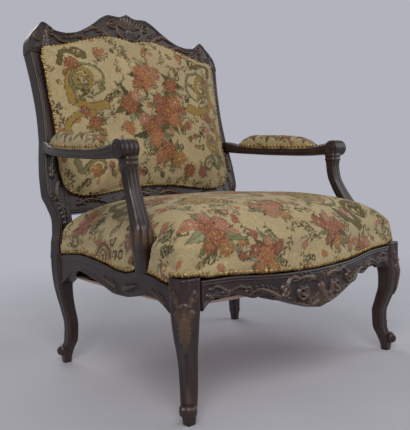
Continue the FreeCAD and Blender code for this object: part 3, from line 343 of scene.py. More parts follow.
def smoothTable(table, level):  # a smooth curve, without overshoot, through each column of a table
    table = np.asarray(table, float)
    xs = table[:, 0]
    level = np.atleast_1d(np.asarray(level, float))
    result = []
    span = np.diff(xs)
    for column in range(1, table.shape[1]):
        ys = table[:, column]
        step = np.diff(ys) / span
        slope = np.zeros(len(xs))
        slope[0], slope[-1] = step[0], step[-1]
        both = step[:-1] + step[1:]
        product = step[:-1] * step[1:]
        slope[1:-1] = np.where(product > 0, 2 * product / np.where(both == 0, 1, both), 0)
        index = np.clip(np.searchsorted(xs, level) - 1, 0, len(xs) - 2)
        t = (level - xs[index]) / span[index]
        result.append(ys[index] * (1 + 2 * t) * (1 - t) ** 2 + ys[index + 1] * t * t * (3 - 2 * t)
                      + slope[index] * span[index] * t * (1 - t) ** 2
                      + slope[index + 1] * span[index] * t * t * (t - 1))
    return result


def evenSpots(line, count, endpoint=True):  # points at equal distances along a line
    length = np.concatenate([[0], np.cumsum(np.linalg.norm(np.diff(line, axis=0), axis=1))])
    spots = np.linspace(0, length[-1], count, endpoint=endpoint)
    return np.stack([np.interp(spots, length, line[:, k]) for k in range(line.shape[1])], axis=1)


def curveThrough(points, count):  # a smooth line through a few points
    points = np.asarray(points, float)
    padded = np.vstack([2 * points[0] - points[1], points, 2 * points[-1] - points[-2]])
    t = np.linspace(0, 1, 24, endpoint=False)[:, None]
    fine = []
    for a, b, c, d in zip(padded, padded[1:], padded[2:], padded[3:]):
        fine.append(0.5 * (2 * b + (c - a) * t + (2 * a - 5 * b + 4 * c - d) * t ** 2
                           + (3 * b - a - 3 * c + d) * t ** 3))
    return evenSpots(np.vstack(fine + [points[-1:]]), count)


rake = math.radians(11.3)
backPivot = (290.0, 440.0)  # y and z of the raked back's zero, on the frame's front face


def backPoint(x, rise, front):  # x across, rise up the raked back, front forward of the frame's face
    x, rise, front = np.broadcast_arrays(x, rise, front)
    return np.stack([x, backPivot[0] + rise * math.sin(rake) - front * math.cos(rake),
                     backPivot[1] + rise * math.cos(rake) + front * math.sin(rake)], axis=-1)


def raiseGrid(rings, amount):  # moves each point of a grid of rings outwards by its own amount
    along = np.gradient(rings, axis=0)
    around = np.roll(rings, -1, axis=1) - np.roll(rings, 1, axis=1)
    normal = np.cross(along, around)
    normal /= np.maximum(np.linalg.norm(normal, axis=2, keepdims=True), 1e-9)
    middle = rings.mean(axis=1, keepdims=True)
    if np.sum(normal * (rings - middle)) < 0:
        normal = -normal
    return rings + normal * amount[..., None]


def newObject(name, verts, faces, merge=0.0):  # verts in mm, faces turned outwards
    mesh = bpy.data.meshes.new(name)
    mesh.from_pydata(inMetres(np.asarray(verts, float)).tolist(), [], faces)
    work = bmesh.new()
    work.from_mesh(mesh)
    if merge:
        bmesh.ops.remove_doubles(work, verts=work.verts, dist=merge)
    bmesh.ops.recalc_face_normals(work, faces=work.faces)
    work.to_mesh(mesh)
    work.free()
    mesh.polygons.foreach_set("use_smooth", [True] * len(mesh.polygons))
    item = bpy.data.objects.new(name, mesh)
    scene.collection.objects.link(item)
    return item


class Piece:  # grids of rings, each closed at both ends, that become one mesh of carved walnut
    def __init__(self):
        self.verts, self.faces, self.relief, self.count = [], [], [], 0

    def addGrid(self, rings, relief=None, mirror=False):
        rings = np.array(rings, float)
        if mirror:
            rings[..., 0] *= -1
        n, m = rings.shape[:2]
        base = self.count
        index = np.arange(n * m).reshape(n, m) + base
        right = np.roll(index, -1, axis=1)
        quads = np.stack([index[:-1], right[:-1], right[1:], index[1:]], axis=-1).reshape(-1, 4)
        ends = np.stack([rings[0].mean(axis=0), rings[-1].mean(axis=0)])
        self.verts.append(np.vstack([rings.reshape(-1, 3), ends]))
        self.faces.extend(quads.tolist())
        first, last = base + n * m, base + n * m + 1
        for j in range(m):
            k = (j + 1) % m
            self.faces.append([int(index[0, j]), int(first), int(index[0, k])])
            self.faces.append([int(index[-1, j]), int(index[-1, k]), int(last)])
        shade = np.full(n * m, 0.5) if relief is None else np.asarray(relief, float).reshape(-1)
        self.relief.append(np.concatenate([shade, [0.5, 0.5]]))
        self.count += n * m + 2

    def build(self, name, replaced):
        item = newObject(name, np.vstack(self.verts), self.faces)
        # the relief attribute drives the walnut's painted shade in hollows and painted highlight on high spots
        layer = item.data.attributes.new("relief", "FLOAT", "POINT")
        layer.data.foreach_set("value", np.clip(np.concatenate(self.relief), 0, 1).astype(np.float32))
        item.data.materials.append(walnut)
        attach(item, "root")
        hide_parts(replaced)


# Carving is a height in mm over flat coordinates of a board or of a leg's corner.
def strokeHeight(u, v, path, startWidth, endWidth, height, lobes=0.0, fullness=0.5):
    path = np.asarray(path, float)
    reach = max(startWidth, endWidth) + 1
    near = ((u > path[:, 0].min() - reach) & (u < path[:, 0].max() + reach)
            & (v > path[:, 1].min() - reach) & (v < path[:, 1].max() + reach))
    result = np.zeros_like(u)
    if not near.any():
        return result
    pu, pv = u[near], v[near]
    best = np.full(pu.shape, 1e9)
    place = np.zeros(pu.shape)
    steps = np.concatenate([[0], np.cumsum(np.linalg.norm(np.diff(path, axis=0), axis=1))])
    for index in range(len(path) - 1):
        a, b = path[index], path[index + 1]
        d = b - a
        t = np.clip(((pu - a[0]) * d[0] + (pv - a[1]) * d[1]) / max(d @ d, 1e-9), 0, 1)
        gap = np.hypot(pu - a[0] - t * d[0], pv - a[1] - t * d[1])
        closer = gap < best
        best = np.where(closer, gap, best)
        place = np.where(closer, steps[index] + t * (steps[index + 1] - steps[index]), place)
    share = place / steps[-1]
    width = startWidth + (endWidth - startWidth) * share
    if lobes:
        width = width * (0.78 + 0.22 * np.abs(np.cos(np.pi * place / lobes)))
    rest = np.clip(1 - (best / np.maximum(width, 0.1)) ** 2, 0, 1)
    vein = 1 - 0.35 * np.exp(-(best / (0.16 * np.maximum(width, 0.1))) ** 2) if lobes else 1
    result[near] = height * rest ** fullness * vein
    return result


def spiralPath(cx, cy, radius, turns, start, tail=None, inner=0.18, sense=1):  # a scroll, with a tail into it
    t = np.linspace(0, 1, int(18 * turns) + 6)
    angle = math.radians(start) + sense * 2 * math.pi * turns * t
    r = radius * (1 - (1 - inner) * t)
    points = np.stack([cx + r * np.cos(angle), cy + r * np.sin(angle)], axis=1)
    if tail is not None:
        points = np.vstack([curveThrough(list(tail) + [points[0]], 14)[:-1], points])
    return points


def shellHeight(u, v, cx, cy, radius, start, end, ribs, height):  # a fan of ribs between two angles
    du, dv = u - cx, v - cy
    r = np.hypot(du, dv)
    angle = np.degrees(np.arctan2(dv, du))
    share = ((angle - start) % 360) / (end - start)
    wave = np.abs(np.sin(np.pi * ribs * share))
    edge = radius * (0.86 + 0.14 * wave)
    inside = (share <= 1) & (r < edge)
    dome = np.clip(1 - (r / edge) ** 4, 0, 1) ** 0.5
    return np.where(inside, height * (0.35 + 0.65 * wave) * dome * (0.35 + 0.65 * np.clip(r / radius, 0, 1)), 0)


def bossHeight(u, v, cx, cy, spread, height):
    return height * np.clip(1 - np.hypot(u - cx, v - cy) ** 2 / spread, 0, 1) ** 0.5


def leafHeight(u, v, path, width, height, lobes=5):  # an acanthus leaf: a vein with leaflets down both sides
    path = curveThrough(path, 24)
    total = strokeHeight(u, v, path, width * 0.55, width * 0.16, height, 0, 0.6)
    tangent = np.gradient(path, axis=0)
    tangent /= np.maximum(np.linalg.norm(tangent, axis=1, keepdims=True), 1e-9)
    for index in range(lobes):
        share = (index + 0.6) / (lobes + 0.4)
        spot = int(share * 22)
        base, along = path[spot], tangent[spot]
        side = np.array([-along[1], along[0]])
        size = width * (1.0 - 0.55 * share)
        for sense in (1, -1):
            tip = base + along * size * 0.95 + side * sense * size * 0.85
            bend = base + along * size * 0.25 + side * sense * size * 0.6
            leaflet = strokeHeight(u, v, [base, bend, tip], size * 0.30, size * 0.12, height * 0.82, 0, 0.6)
            total = np.maximum(total, leaflet)
    return total


def moulding(gap, depth=1.0):  # height by distance from the edge: roll, groove, bead, groove, hollow field
    return depth * np.interp(gap, [0, 1.2, 2.6, 5.0, 6.2, 7.0, 8.2, 9.6, 10.8, 12.0, 16.0],
                             [-2.6, -0.8, 0.0, 0.0, -1.9, -2.2, -0.5, -0.5, -2.4, -2.9, -2.6])


def bothSides(field, u, v, *values, **named):
    return np.maximum(field(u, v, *values, **named), field(-u, v, *values, **named))


def addOrnament(total, u, v, curls, leaves):  # curls and leaves on both sides of the middle
    for path, first, last, tall in curls:
        total = np.maximum(total, bothSides(strokeHeight, u, v, path, first, last, tall, fullness=0.6))
    for path, width, tall, lobes in leaves:
        total = np.maximum(total, bothSides(leafHeight, u, v, path, width, tall, lobes))
    return total


def inField(edge, ornament, gap, margin, sunk):  # the ornament lies in the board's sunk field, and fades at its edge
    return np.maximum(edge, ornament * np.clip(gap / margin, 0, 1) - sunk)


def addBoard(piece, along, low, high, point, thickness, carve, faceCount=40, mirror=False):
    face = np.linspace(0, 1, faceCount)
    face = 0.45 * face + 0.55 * (0.5 - 0.5 * np.cos(np.pi * face))  # closer rows at both edges
    side = np.array([0.14, 0.3, 0.6, 0.88])
    rear = np.linspace(1, 0, 8)
    share = np.concatenate([face, np.ones(4), rear, np.zeros(4)])
    depth = np.concatenate([np.zeros(faceCount), side, np.ones(8), side[::-1]])
    onFace = np.arange(len(share)) < faceCount
    u = np.repeat(along[:, None], len(share), axis=1)
    lows, highs = low[:, None], high[:, None]
    v = lows + (highs - lows) * share[None, :]
    gap = np.minimum(v - lows, highs - v)
    height = np.where(onFace[None, :], carve(u, v, gap), 0.0)
    d = thickness * depth[None, :] - height
    piece.addGrid(point(u, v, d), np.where(onFace[None, :], 0.62 + height / 9, 0.55), mirror)


def backFacePoint(u, v, d):  # d is the depth behind the raked back's front face
    return backPoint(u, v, -d)


crest = {
    "base": 382.0, "height": 147.0, "tip": 278.0, "overhang": 1.19, "thickness": 38.0,
    "top": [(0, 1.0), (0.11, 0.93), (0.22, 0.94), (0.31, 0.875), (0.43, 0.715), (0.54, 0.585), (0.66, 0.485),
            (0.78, 0.45), (0.88, 0.47), (0.95, 0.56), (1.0, 0.605), (1.075, 0.47), (1.135, 0.35), (1.175, 0.21),
            (1.19, 0.02)],
    "bottom": [(0, 0.28), (0.09, 0.31), (0.25, 0.34), (0.43, 0.28), (0.6, 0.185), (0.76, 0.095), (0.91, 0.03),
               (1.0, 0.0), (1.19, 0.0)],
}


def crestCarving(u, v, gap):
    rise = crest["base"]
    total = shellHeight(u, v, 0, rise + 92, 50, 18, 162, 9, 9.5)
    total = np.maximum(total, shellHeight(u, v, 0, rise + 88, 26, 190, 350, 7, 7.0))
    total = np.maximum(total, bossHeight(u, v, 0, rise + 92, 110, 8.0))
    curls = [
        (spiralPath(58, rise + 112, 15, 1.5, 200, [(20, rise + 66), (40, rise + 82)]), 6.0, 2.6, 7.5),
        (spiralPath(88, rise + 72, 11, 1.4, 60, [(150, rise + 78), (118, rise + 92)]), 4.6, 2.2, 6.5),
        (spiralPath(262, rise + 66, 13, 1.5, 240, [(205, rise + 36), (236, rise + 40)]), 5.4, 2.4, 6.5),
        (spiralPath(298, rise + 22, 12, 1.3, 80, [(304, rise + 58), (312, rise + 42)]), 5.0, 2.2, 5.5),
    ]
    leaves = [
        ([(62, rise + 62), (96, rise + 84), (134, rise + 92), (160, rise + 80)], 17, 6.5, 5),
        ([(150, rise + 56), (178, rise + 62), (206, rise + 52), (228, rise + 50)], 13, 5.5, 5),
        ([(30, rise + 108), (44, rise + 122), (56, rise + 130)], 12, 5.5, 3),
        ([(276, rise + 20), (272, rise + 42), (276, rise + 66)], 14, 5.0, 4),
    ]
    return inField(moulding(gap, 0.95), addOrnament(total, u, v, curls, leaves), gap, 5, 2.6)


def buildCrest():
    half = crest["tip"] * crest["overhang"] - 0.6
    along = np.linspace(-half, half, 330)
    share = np.abs(along) / crest["tip"]
    high = crest["base"] + crest["height"] * smoothTable(crest["top"], share)[0]
    low = crest["base"] + crest["height"] * smoothTable(crest["bottom"], share)[0]
    piece = Piece()
    addBoard(piece, along, low, np.maximum(high, low + 2), backFacePoint, crest["thickness"], crestCarving, 64)
    piece.build("carvedCrestRail", "crest_rail")


lowerRail = {
    "half": 277.0, "thickness": 38.0,
    "top": [(0, 26), (0.22, 25), (0.5, 15), (0.66, 9), (0.82, 8), (1.0, 14)],
    "bottom": [(0, -43), (0.3, -42), (0.47, -44), (0.6, -47), (0.75, -51), (1.0, -52)],
}


def lowerRailCarving(u, v, gap):
    total = shellHeight(u, v, 0, -22, 26, 10, 170, 7, 6.5)
    total = np.maximum(total, shellHeight(u, v, 0, -22, 18, 190, 350, 5, 5.0))
    leaves = [([(22, -12), (52, -6), (84, -14), (112, -22)], 13, 5.5, 5),
              ([(252, -26), (222, -16), (192, -20), (168, -28)], 13, 5.5, 5)]
    total = addOrnament(total, u, v, [], leaves)
    curl = spiralPath(140, -26, 10, 1.4, 120, [(112, -34), (124, -38)])
    total = np.maximum(total, bothSides(strokeHeight, u, v, curl, 4.0, 2.0, 5.0))
    return inField(moulding(gap, 0.8), total, gap, 5, 2.4)


def buildLowerRail():
    along = np.linspace(-lowerRail["half"], lowerRail["half"], 260)
    share = np.abs(along) / lowerRail["half"]
    high, low = smoothTable(lowerRail["top"], share)[0], smoothTable(lowerRail["bottom"], share)[0]
    piece = Piece()
    addBoard(piece, along, low, high, backFacePoint, lowerRail["thickness"], lowerRailCarving, 44)
    piece.build("carvedLowerBackRail", "lower_back_rail")


seatRail = {
    "top": 285.0, "frontHalf": 320.9, "frontFace": -283.0, "bow": 29.0, "drop": 104.0, "thickness": 38.0,
    "bowShape": [(0, 1.0), (0.35, 0.8), (0.64, 0.28), (0.82, 0.04), (1.0, 0.0)],
    "frontTop": [(0, -17), (0.3, -15), (0.52, -11), (0.75, -5), (1.0, -3)],
    "frontBottom": [(0, 1.0), (0.16, 0.915), (0.27, 0.80), (0.38, 0.68), (0.45, 0.64), (0.5, 0.49), (0.59, 0.54),
                    (0.66, 0.47), (0.74, 0.40), (0.82, 0.43), (0.89, 0.40), (0.95, 0.47), (1.0, 0.60)],
    "sideFront": -233.95, "sideBack": 262.95, "sideFrontX": 366.0, "sideBackX": 328.0,
    "sideTop": [(0, -13), (0.06, -8), (0.14, 0), (0.217, 1), (0.27, -1), (0.33, -7), (0.41, -6), (0.5, 1), (0.62, 8),
                (0.76, 12), (0.88, 8), (1.0, 1)],
    "sideBottom": [(0, -66), (0.05, -53), (0.10, -45), (0.17, -44), (0.25, -51), (0.34, -58), (0.43, -59),
                   (0.53, -49), (0.66, -36), (0.78, -27), (0.86, -36), (0.93, -55), (1.0, -74)],
}


def frontBow(x):
    share = np.clip(np.abs(x).ravel() / seatRail["frontHalf"], 0, 1)
    return seatRail["bow"] * smoothTable(seatRail["bowShape"], share)[0].reshape(np.shape(x))


def frontRailPoint(x, z, d):
    return np.stack([x, seatRail["frontFace"] - frontBow(x) + d, z + 0 * x], axis=-1)


def frontRailCarving(u, v, gap):
    total = shellHeight(u, v, 4, 222, 44, 200, 340, 9, 10)
    total = np.maximum(total, shellHeight(u, v, 0, 236, 26, 20, 160, 7, 7))
    total = np.maximum(total, bossHeight(u, v, 3, 226, 160, 8))
    curls = [
        (spiralPath(60, 222, 17, 1.6, 150, [(14, 196), (34, 194)]), 6.5, 2.6, 8),
        (spiralPath(112, 236, 14, 1.5, 300, [(70, 254), (92, 258)], sense=-1), 5.5, 2.4, 7),
        (spiralPath(206, 244, 10, 1.4, 60, [(250, 252), (228, 258)]), 4.4, 2.0, 5),
        (spiralPath(262, 252, 9, 1.3, 200, [(300, 262), (284, 266)]), 4.0, 2.0, 5),
    ]
    leaves = [
        ([(24, 250), (52, 256), (84, 250)], 14, 6.5, 4),
        ([(128, 222), (150, 236), (176, 246), (196, 242)], 14, 6.0, 5),
        ([(34, 186), (64, 196), (94, 206), (118, 214)], 13, 6.5, 5),
        ([(306, 250), (290, 240), (276, 238)], 11, 5.0, 3),
    ]
    total = addOrnament(total, u, v, curls, leaves)
    tongue = leafHeight(u, v, [(6, 216), (16, 200), (30, 184)], 16, 8.5, 4)  # leans to one side
    return inField(moulding(gap, 0.9), np.maximum(total, tongue), gap, 4, 2.4)


def buildFrontRail():
    half = seatRail["frontHalf"]
    along = np.linspace(-half, half, 330)
    share = np.abs(along) / half
    high = seatRail["top"] + smoothTable(seatRail["frontTop"], share)[0]
    low = seatRail["top"] - seatRail["drop"] * smoothTable(seatRail["frontBottom"], share)[0]
    piece = Piece()
    addBoard(piece, along, low, high, frontRailPoint, seatRail["thickness"], frontRailCarving, 54)
    piece.build("carvedFrontRail", "front_seat_rail")


def sideShare(y):  # 0 at the side rail's front end, 1 at its back end
    return (y - seatRail["sideFront"]) / (seatRail["sideBack"] - seatRail["sideFront"])


def sideOuterX(y):
    return seatRail["sideFrontX"] + (seatRail["sideBackX"] - seatRail["sideFrontX"]) * sideShare(y)


def sideRailPoint(y, z, d):
    return np.stack([sideOuterX(y) - d, y + 0 * z, z + 0 * y], axis=-1)


def sideRailCarving(u, v, gap):
    total = shellHeight(u, v, -40, 240, 20, 200, 340, 7, 5.5)
    leaves = [([(-24, 244), (6, 250), (36, 258)], 12), ([(-60, 244), (-92, 252), (-118, 258)], 12),
              ([(170, 246), (196, 244), (226, 232)], 11), ([(-216, 236), (-190, 248), (-164, 256)], 11)]
    for path, width in leaves:
        total = np.maximum(total, leafHeight(u, v, path, width, 5.0, 4))
    return inField(moulding(gap, 0.9), total, gap, 4, 2.4)


def buildSideRails():
    along = np.linspace(seatRail["sideFront"], seatRail["sideBack"], 240)
    share = sideShare(along)
    high = seatRail["top"] + smoothTable(seatRail["sideTop"], share)[0]
    low = seatRail["top"] + smoothTable(seatRail["sideBottom"], share)[0]
    for side in ("right", "left"):
        piece = Piece()
        addBoard(piece, along, low, high, sideRailPoint, seatRail["thickness"], sideRailCarving, 40, side == "left")
        piece.build("carvedSideRail_" + side, "side_seat_rail_" + side)


legs = {  # rows of a leg are height, offset outwards along the corner's diagonal, side of the square
    "frontPlace": (345.0, -258.0), "backPlace": (308.0, 286.0),
    "front": [(0, -3, 20), (14, -3.5, 22), (36, -9, 26), (66, -19, 28.5), (102, -19.5, 30), (138, -9, 33),
              (172, 2.5, 38), (206, 5.5, 43), (240, 1, 47), (262, 0, 48), (288.5, 0, 48)],
    "back": [(0, 0, 20), (14, -0.5, 22), (34, -4, 26), (60, -14, 28.5), (100, -16, 29.5), (143, -9, 31),
             (177, -3, 35), (208, 0, 40), (240, 0, 45), (262, 0, 46), (289, 0, 46)],
    "cornerPower": 5.0, "scrollRadius": 12.0, "scrollLength": 34.0, "scrollReach": 9.5, "scrollHeight": 32.0,
}


def roundedRing(count, power, start=0.0):  # goes round a rounded square of half side 1
    angle = np.linspace(0, 2 * np.pi, count, endpoint=False) + start
    c, s = np.cos(angle), np.sin(angle)
    scale = (np.abs(c) ** power + np.abs(s) ** power) ** (-1 / power)
    return angle, c * scale, s * scale


def legCarving(distance, height, knee, gap):  # distance round from the outward corner, on both faces
    total = moulding(gap * 0.9, 0.5) + 1.3
    if knee:
        total = np.maximum(total, shellHeight(distance, height, 0, 236, 34, 200, 340, 9, 5.5))
        leaf = [(4, 214), (8, 188), (4, 158)]
        total = np.maximum(total, bothSides(leafHeight, distance, height, leaf, 12, 4.5, 5))
        total = np.maximum(total, strokeHeight(distance, height, [(0, 214), (0, 150)], 7, 2, 4.5))
        curl = spiralPath(24, 256, 11, 1.4, 200, [(4, 240), (14, 238)])
        total = np.maximum(total, bothSides(strokeHeight, distance, height, curl, 4.2, 2, 4.5))
    return np.maximum(total, strokeHeight(distance, height, [(0, 20), (0, 62), (0, 78)], 9, 2, 2.6))


def addLeg(piece, place, table, outward, knee, mirror):
    levels = np.linspace(0.3, table[-1][0], 96)
    offset, side = smoothTable(table, levels)
    _, ringX, ringY = roundedRing(56, legs["cornerPower"], math.pi / 4)  # from the outward corner
    direction = np.array([1.0, outward]) / math.sqrt(2)
    half = side[:, None] / 2
    x = place[0] + direction[0] * offset[:, None] + half * ringX
    y = place[1] + direction[1] * offset[:, None] + half * ringY * outward
    z = np.repeat(levels[:, None], 56, axis=1)
    rings = np.stack([x, y, z], axis=-1)
    around = np.linspace(0, 8, 56, endpoint=False)
    distance = np.where(around > 4, around - 8, around)[None, :] * half
    gap = np.abs(((around + 1) % 2) - 1)[None, :] * half
    height = legCarving(distance, z, knee, gap)
    height = height * np.clip((levels[:, None] - 4) / 12, 0, 1) * np.clip((side[:, None]) / 30, 0, 1)
    if not knee:
        height = height * 0.6
    piece.addGrid(raiseGrid(rings, height), 0.55 + height / 8, mirror)
    addFootScroll(piece, place, direction, mirror)


def addFootScroll(piece, place, direction, mirror):  # a roll with three grooves across the foot
    across = np.linspace(-1, 1, 18)
    turn = np.linspace(0, 2 * np.pi, 36, endpoint=False)
    radius = legs["scrollRadius"] * (1 - 0.32 * np.abs(across) ** 6)[:, None]
    radius = radius + 0.7 * np.cos(across * 9)[:, None] + 0 * turn
    reach = legs["scrollReach"]
    middle = np.array([place[0] + direction[0] * reach, place[1] + direction[1] * reach, legs["scrollHeight"]])
    sideways = np.array([direction[1], -direction[0], 0])
    forward = np.array([direction[0], direction[1], 0])
    roll = (middle + sideways * (across * legs["scrollLength"] / 2)[:, None, None]
            + forward * (radius * np.cos(turn))[..., None] + np.array([0, 0, 1]) * (radius * np.sin(turn))[..., None])
    piece.addGrid(roll, 0.6 + 0.12 * np.cos(across * 9)[:, None] + 0 * turn, mirror)


stile = {  # rows are rise up the back, set back, inner x, width, depth
    "thickness": 38.0,
    "table": [(-158.1, 5.0, 285.0, 46.0, 43.0), (-122, 2, 285, 42, 40), (-95, 0.5, 280, 41, 38),
              (-62, 0, 277, 41, 38), (-25, 0, 277, 50, 38), (5, 0, 277, 60, 38), (45, 0, 277, 59, 38),
              (100, 0, 277, 53, 38), (155, 0, 277, 44.5, 38), (225, 0, 277, 41, 38), (300, 0, 277, 44, 38),
              (382, 0, 277, 52, 38)],
}


def stileCarving(u, v, gap):
    total = strokeHeight(u, v, spiralPath(-8, 322, 12, 1.4, 250, [(34, 300), (18, 306)]), 4.5, 2.2, 5.5)
    total = np.maximum(total, leafHeight(u, v, [(50, 318), (86, 314), (122, 304), (150, 298)], 14, 5.5, 5))
    total = np.maximum(total, leafHeight(u, v, [(-24, 306), (-52, 298), (-86, 298)], 11, 4.5, 4))
    return inField(moulding(gap, 0.95), total, gap, 4, 2.5)


def buildLegs():
    rise = np.linspace(stile["table"][0][0], stile["table"][-1][0], 250)
    setBack, inner, width, depth = smoothTable(stile["table"], rise)

    def stilePoint(u, v, d):
        depthHere, setBackHere = np.interp(u, rise, depth), np.interp(u, rise, setBack)
        return backPoint(v, u, -d * depthHere / stile["thickness"] - setBackHere)

    for side in ("right", "left"):
        mirror = side == "left"
        piece = Piece()
        addLeg(piece, legs["frontPlace"], legs["front"], -1, True, mirror)
        piece.build("carvedFrontLeg_" + side, "front_leg_" + side)
        piece = Piece()
        addLeg(piece, legs["backPlace"], legs["back"], 1, False, mirror)
        addBoard(piece, rise, inner, inner + width, stilePoint, stile["thickness"], stileCarving, 34, mirror)
        piece.build("carvedBackPost_" + side, "back_post_" + side)


arms = {  # rows are share of the length, inward, rise, width, height
    "spread": 355.0, "height": 541.0, "start": -92.0, "backRise": 120.0, "corner": 3.6,
    "table": [(0, 0, 0, 42, 38), (0.10, 1, -4, 42, 30), (0.22, 3, -7, 45, 25), (0.47, 8.5, -3, 46, 24),
              (0.70, 17, 3.5, 45, 24), (0.86, 27, 11, 40, 28), (0.97, 37, 19, 35, 34), (1.0, 38.5, 20, 34, 34.5)],
    "voluteRadius": 21.0, "voluteLength": 46.0, "voluteTurns": 2.4,
}
arms["length"] = backPivot[0] + arms["backRise"] * math.sin(rake) - arms["start"]


def addVolute(piece, mirror):  # the hand-hold: a ribbed roll with a spiral on each end
    radius, half = arms["voluteRadius"], arms["voluteLength"] / 2
    turn = np.linspace(0, 2 * np.pi, 64, endpoint=False)
    rows, shades = [], []

    def addRow(x, reach, shade):
        rows.append(np.stack([x + 0 * turn, reach * np.cos(turn), reach * np.sin(turn)], axis=-1))
        shades.append(shade + 0 * turn)

    def addEnd(sense, shares):
        for r in shares:
            phase = (r * arms["voluteTurns"] + turn / (2 * np.pi)) % 1.0
            relief = 1.9 * np.abs(np.cos(np.pi * phase)) ** 0.8 - 1.2 + 2.2 * (1 - r)
            x = sense * (half - 1.5 + relief * (1 if r < 0.97 else 0.3))
            # shade here sets painted shade in the spiral's grooves and painted highlight on its ridges
            addRow(x, radius * r, 0.3 + 0.45 * np.abs(np.cos(np.pi * phase)))

    inward = np.linspace(0.12, 1, 20)
    addEnd(-1, inward)
    for x in np.linspace(-half + 2, half - 2, 14):
        swell = 1 + 0.05 * math.cos(x * 0.55) - 0.03 * abs(x / half) ** 4
        addRow(x, radius * swell, 0.55 + 0.2 * math.cos(x * 0.55))
    addEnd(1, inward[::-1])
    rings = np.array(rows) + np.array([arms["spread"], arms["start"], arms["height"]])
    piece.addGrid(rings, np.array(shades), mirror)


def buildArms():
    share = np.linspace(-0.01, 1.0, 170)
    inward, rise, width, tall = smoothTable(arms["table"], np.clip(share, 0, 1))
    angle, c, s = roundedRing(48, arms["corner"])
    x = arms["spread"] - inward[:, None] + width[:, None] / 2 * c
    z = arms["height"] + rise[:, None] + tall[:, None] / 2 * s
    y = arms["start"] + share[:, None] * arms["length"] + 0 * x
    y = np.minimum(y, (z - backPivot[1]) * math.tan(rake) + backPivot[0] + 4)  # ends in the raked stile
    offset = np.abs(s)[None, :] * tall[:, None] / 2
    groove = -1.6 * np.exp(-((offset - 3.6) / 1.3) ** 2) + 0.9 * np.exp(-((offset - 0.3) / 2.0) ** 2)
    groove = np.where(np.abs(c)[None, :] > 0.86, groove, 0)
    under = np.clip(-s, 0, 1)[None, :] ** 3
    upper = np.clip(s, 0, 1)[None, :]
    knob = 7.0 * np.exp(-((y + 17) / 8) ** 2) * upper ** 2 * (0.75 + 0.25 * np.cos(angle * 10))[None, :]
    leafBand = 2.4 * np.abs(np.sin(np.pi * y / 11)) * np.exp(-((y + 52) / 26) ** 2) * upper
    height = groove + knob + leafBand - under
    rings = raiseGrid(np.stack([x, y, z], axis=-1), height)
    for side in ("right", "left"):
        piece = Piece()
        piece.addGrid(rings, 0.58 + height / 7, side == "left")
        addVolute(piece, side == "left")
        piece.build("scrolledArm_" + side, "arm_" + side)


support = {  # rows are share of the height, outward, back, width, length
    "y": -126.0, "inset": 15.0, "base": 285.0, "top": 520.5, "corner": 3.2,
    "table": [(-0.04, 0, 0, 30, 42), (0.0, 0, 0, 30, 42), (0.10, 2, -1, 31, 42), (0.20, 6, -5, 35, 43),
              (0.30, 11, -11, 37, 42), (0.39, 11.5, -10, 37, 40), (0.50, 8, 3, 36, 38), (0.62, 3.5, 18, 34, 35),
              (0.75, 1.5, 31, 33, 33), (0.88, 2, 36, 33, 33), (1.0, 4, 37, 36, 36), (1.06, 4, 37, 37, 37)],
    "coverGap": 1.6, "coverSlit": 2.0, "coverEase": 7.0,  # how closely the seat's cover is turned in round it
}
support["x"] = float(sideOuterX(support["y"])) - support["inset"]


def buildSupports():
    share = np.linspace(-0.04, 1.06, 130)
    out, back, width, length = smoothTable(support["table"], share)
    angle, c, s = roundedRing(60, support["corner"])
    level = support["base"] + share * (support["top"] - support["base"])
    x = support["x"] + out[:, None] + width[:, None] / 2 * c
    y = support["y"] + back[:, None] + length[:, None] / 2 * s
    z = level[:, None] + 0 * x
    share = share[:, None]
    flute = (-1.7 * np.abs(np.sin(angle * 6))[None, :] ** 2 * np.clip((share - 0.34) / 0.12, 0, 1)
             * np.clip((0.93 - share) / 0.05, 0, 1))
    collar = 2.0 * np.exp(-((share - 0.955) / 0.014) ** 2) + 1.6 * np.exp(-((share - 1.0) / 0.012) ** 2)
    around = (angle / (2 * np.pi))[None, :]
    lobes = np.abs(np.sin(np.pi * (around * 8))) ** 0.7
    leaf = 5.0 * lobes * np.exp(-((share - 0.27 - 0.06 * lobes) / 0.10) ** 2) * np.clip(share / 0.08, 0, 1)
    height = np.maximum(flute + collar, flute + leaf)
    rings = raiseGrid(np.stack([x, y, z], axis=-1), height)
    for side in ("right", "left"):
        piece = Piece()
        piece.addGrid(rings, 0.52 + height / 8, side == "left")
        piece.build("carvedArmSupport_" + side, "arm_support_" + side)


buildCrest()
buildLowerRail()
buildFrontRail()
buildSideRails()
buildLegs()
buildArms()
buildSupports()
print("stage: carved frame")


# The tapestry's motifs are painted one over another, on flat coordinates in mm.
ground = linear(184, 167, 128)
inks = {
    "terracotta": linear(156, 94, 60), "salmon": linear(176, 116, 80), "rose": linear(152, 92, 76),
    "pink": linear(184, 136, 112), "burgundy": linear(98, 48, 42), "ochre": linear(166, 128, 66),
    "sage": linear(114, 114, 78), "olive": linear(94, 86, 48), "moss": linear(66, 68, 44),
    "cream": linear(206, 192, 152),
    "gold": linear(148, 122, 66), "shade": linear(74, 60, 42), "grey": linear(136, 134, 106),
}
leafInks = ("sage", "olive", "moss", "grey")


def lay(color, mask, ink):
    color += mask[:, None] * (np.array(ink)[None, :] - color)


def soft(distance, width=1.2):
    return np.clip(0.5 - distance / width, 0, 1)


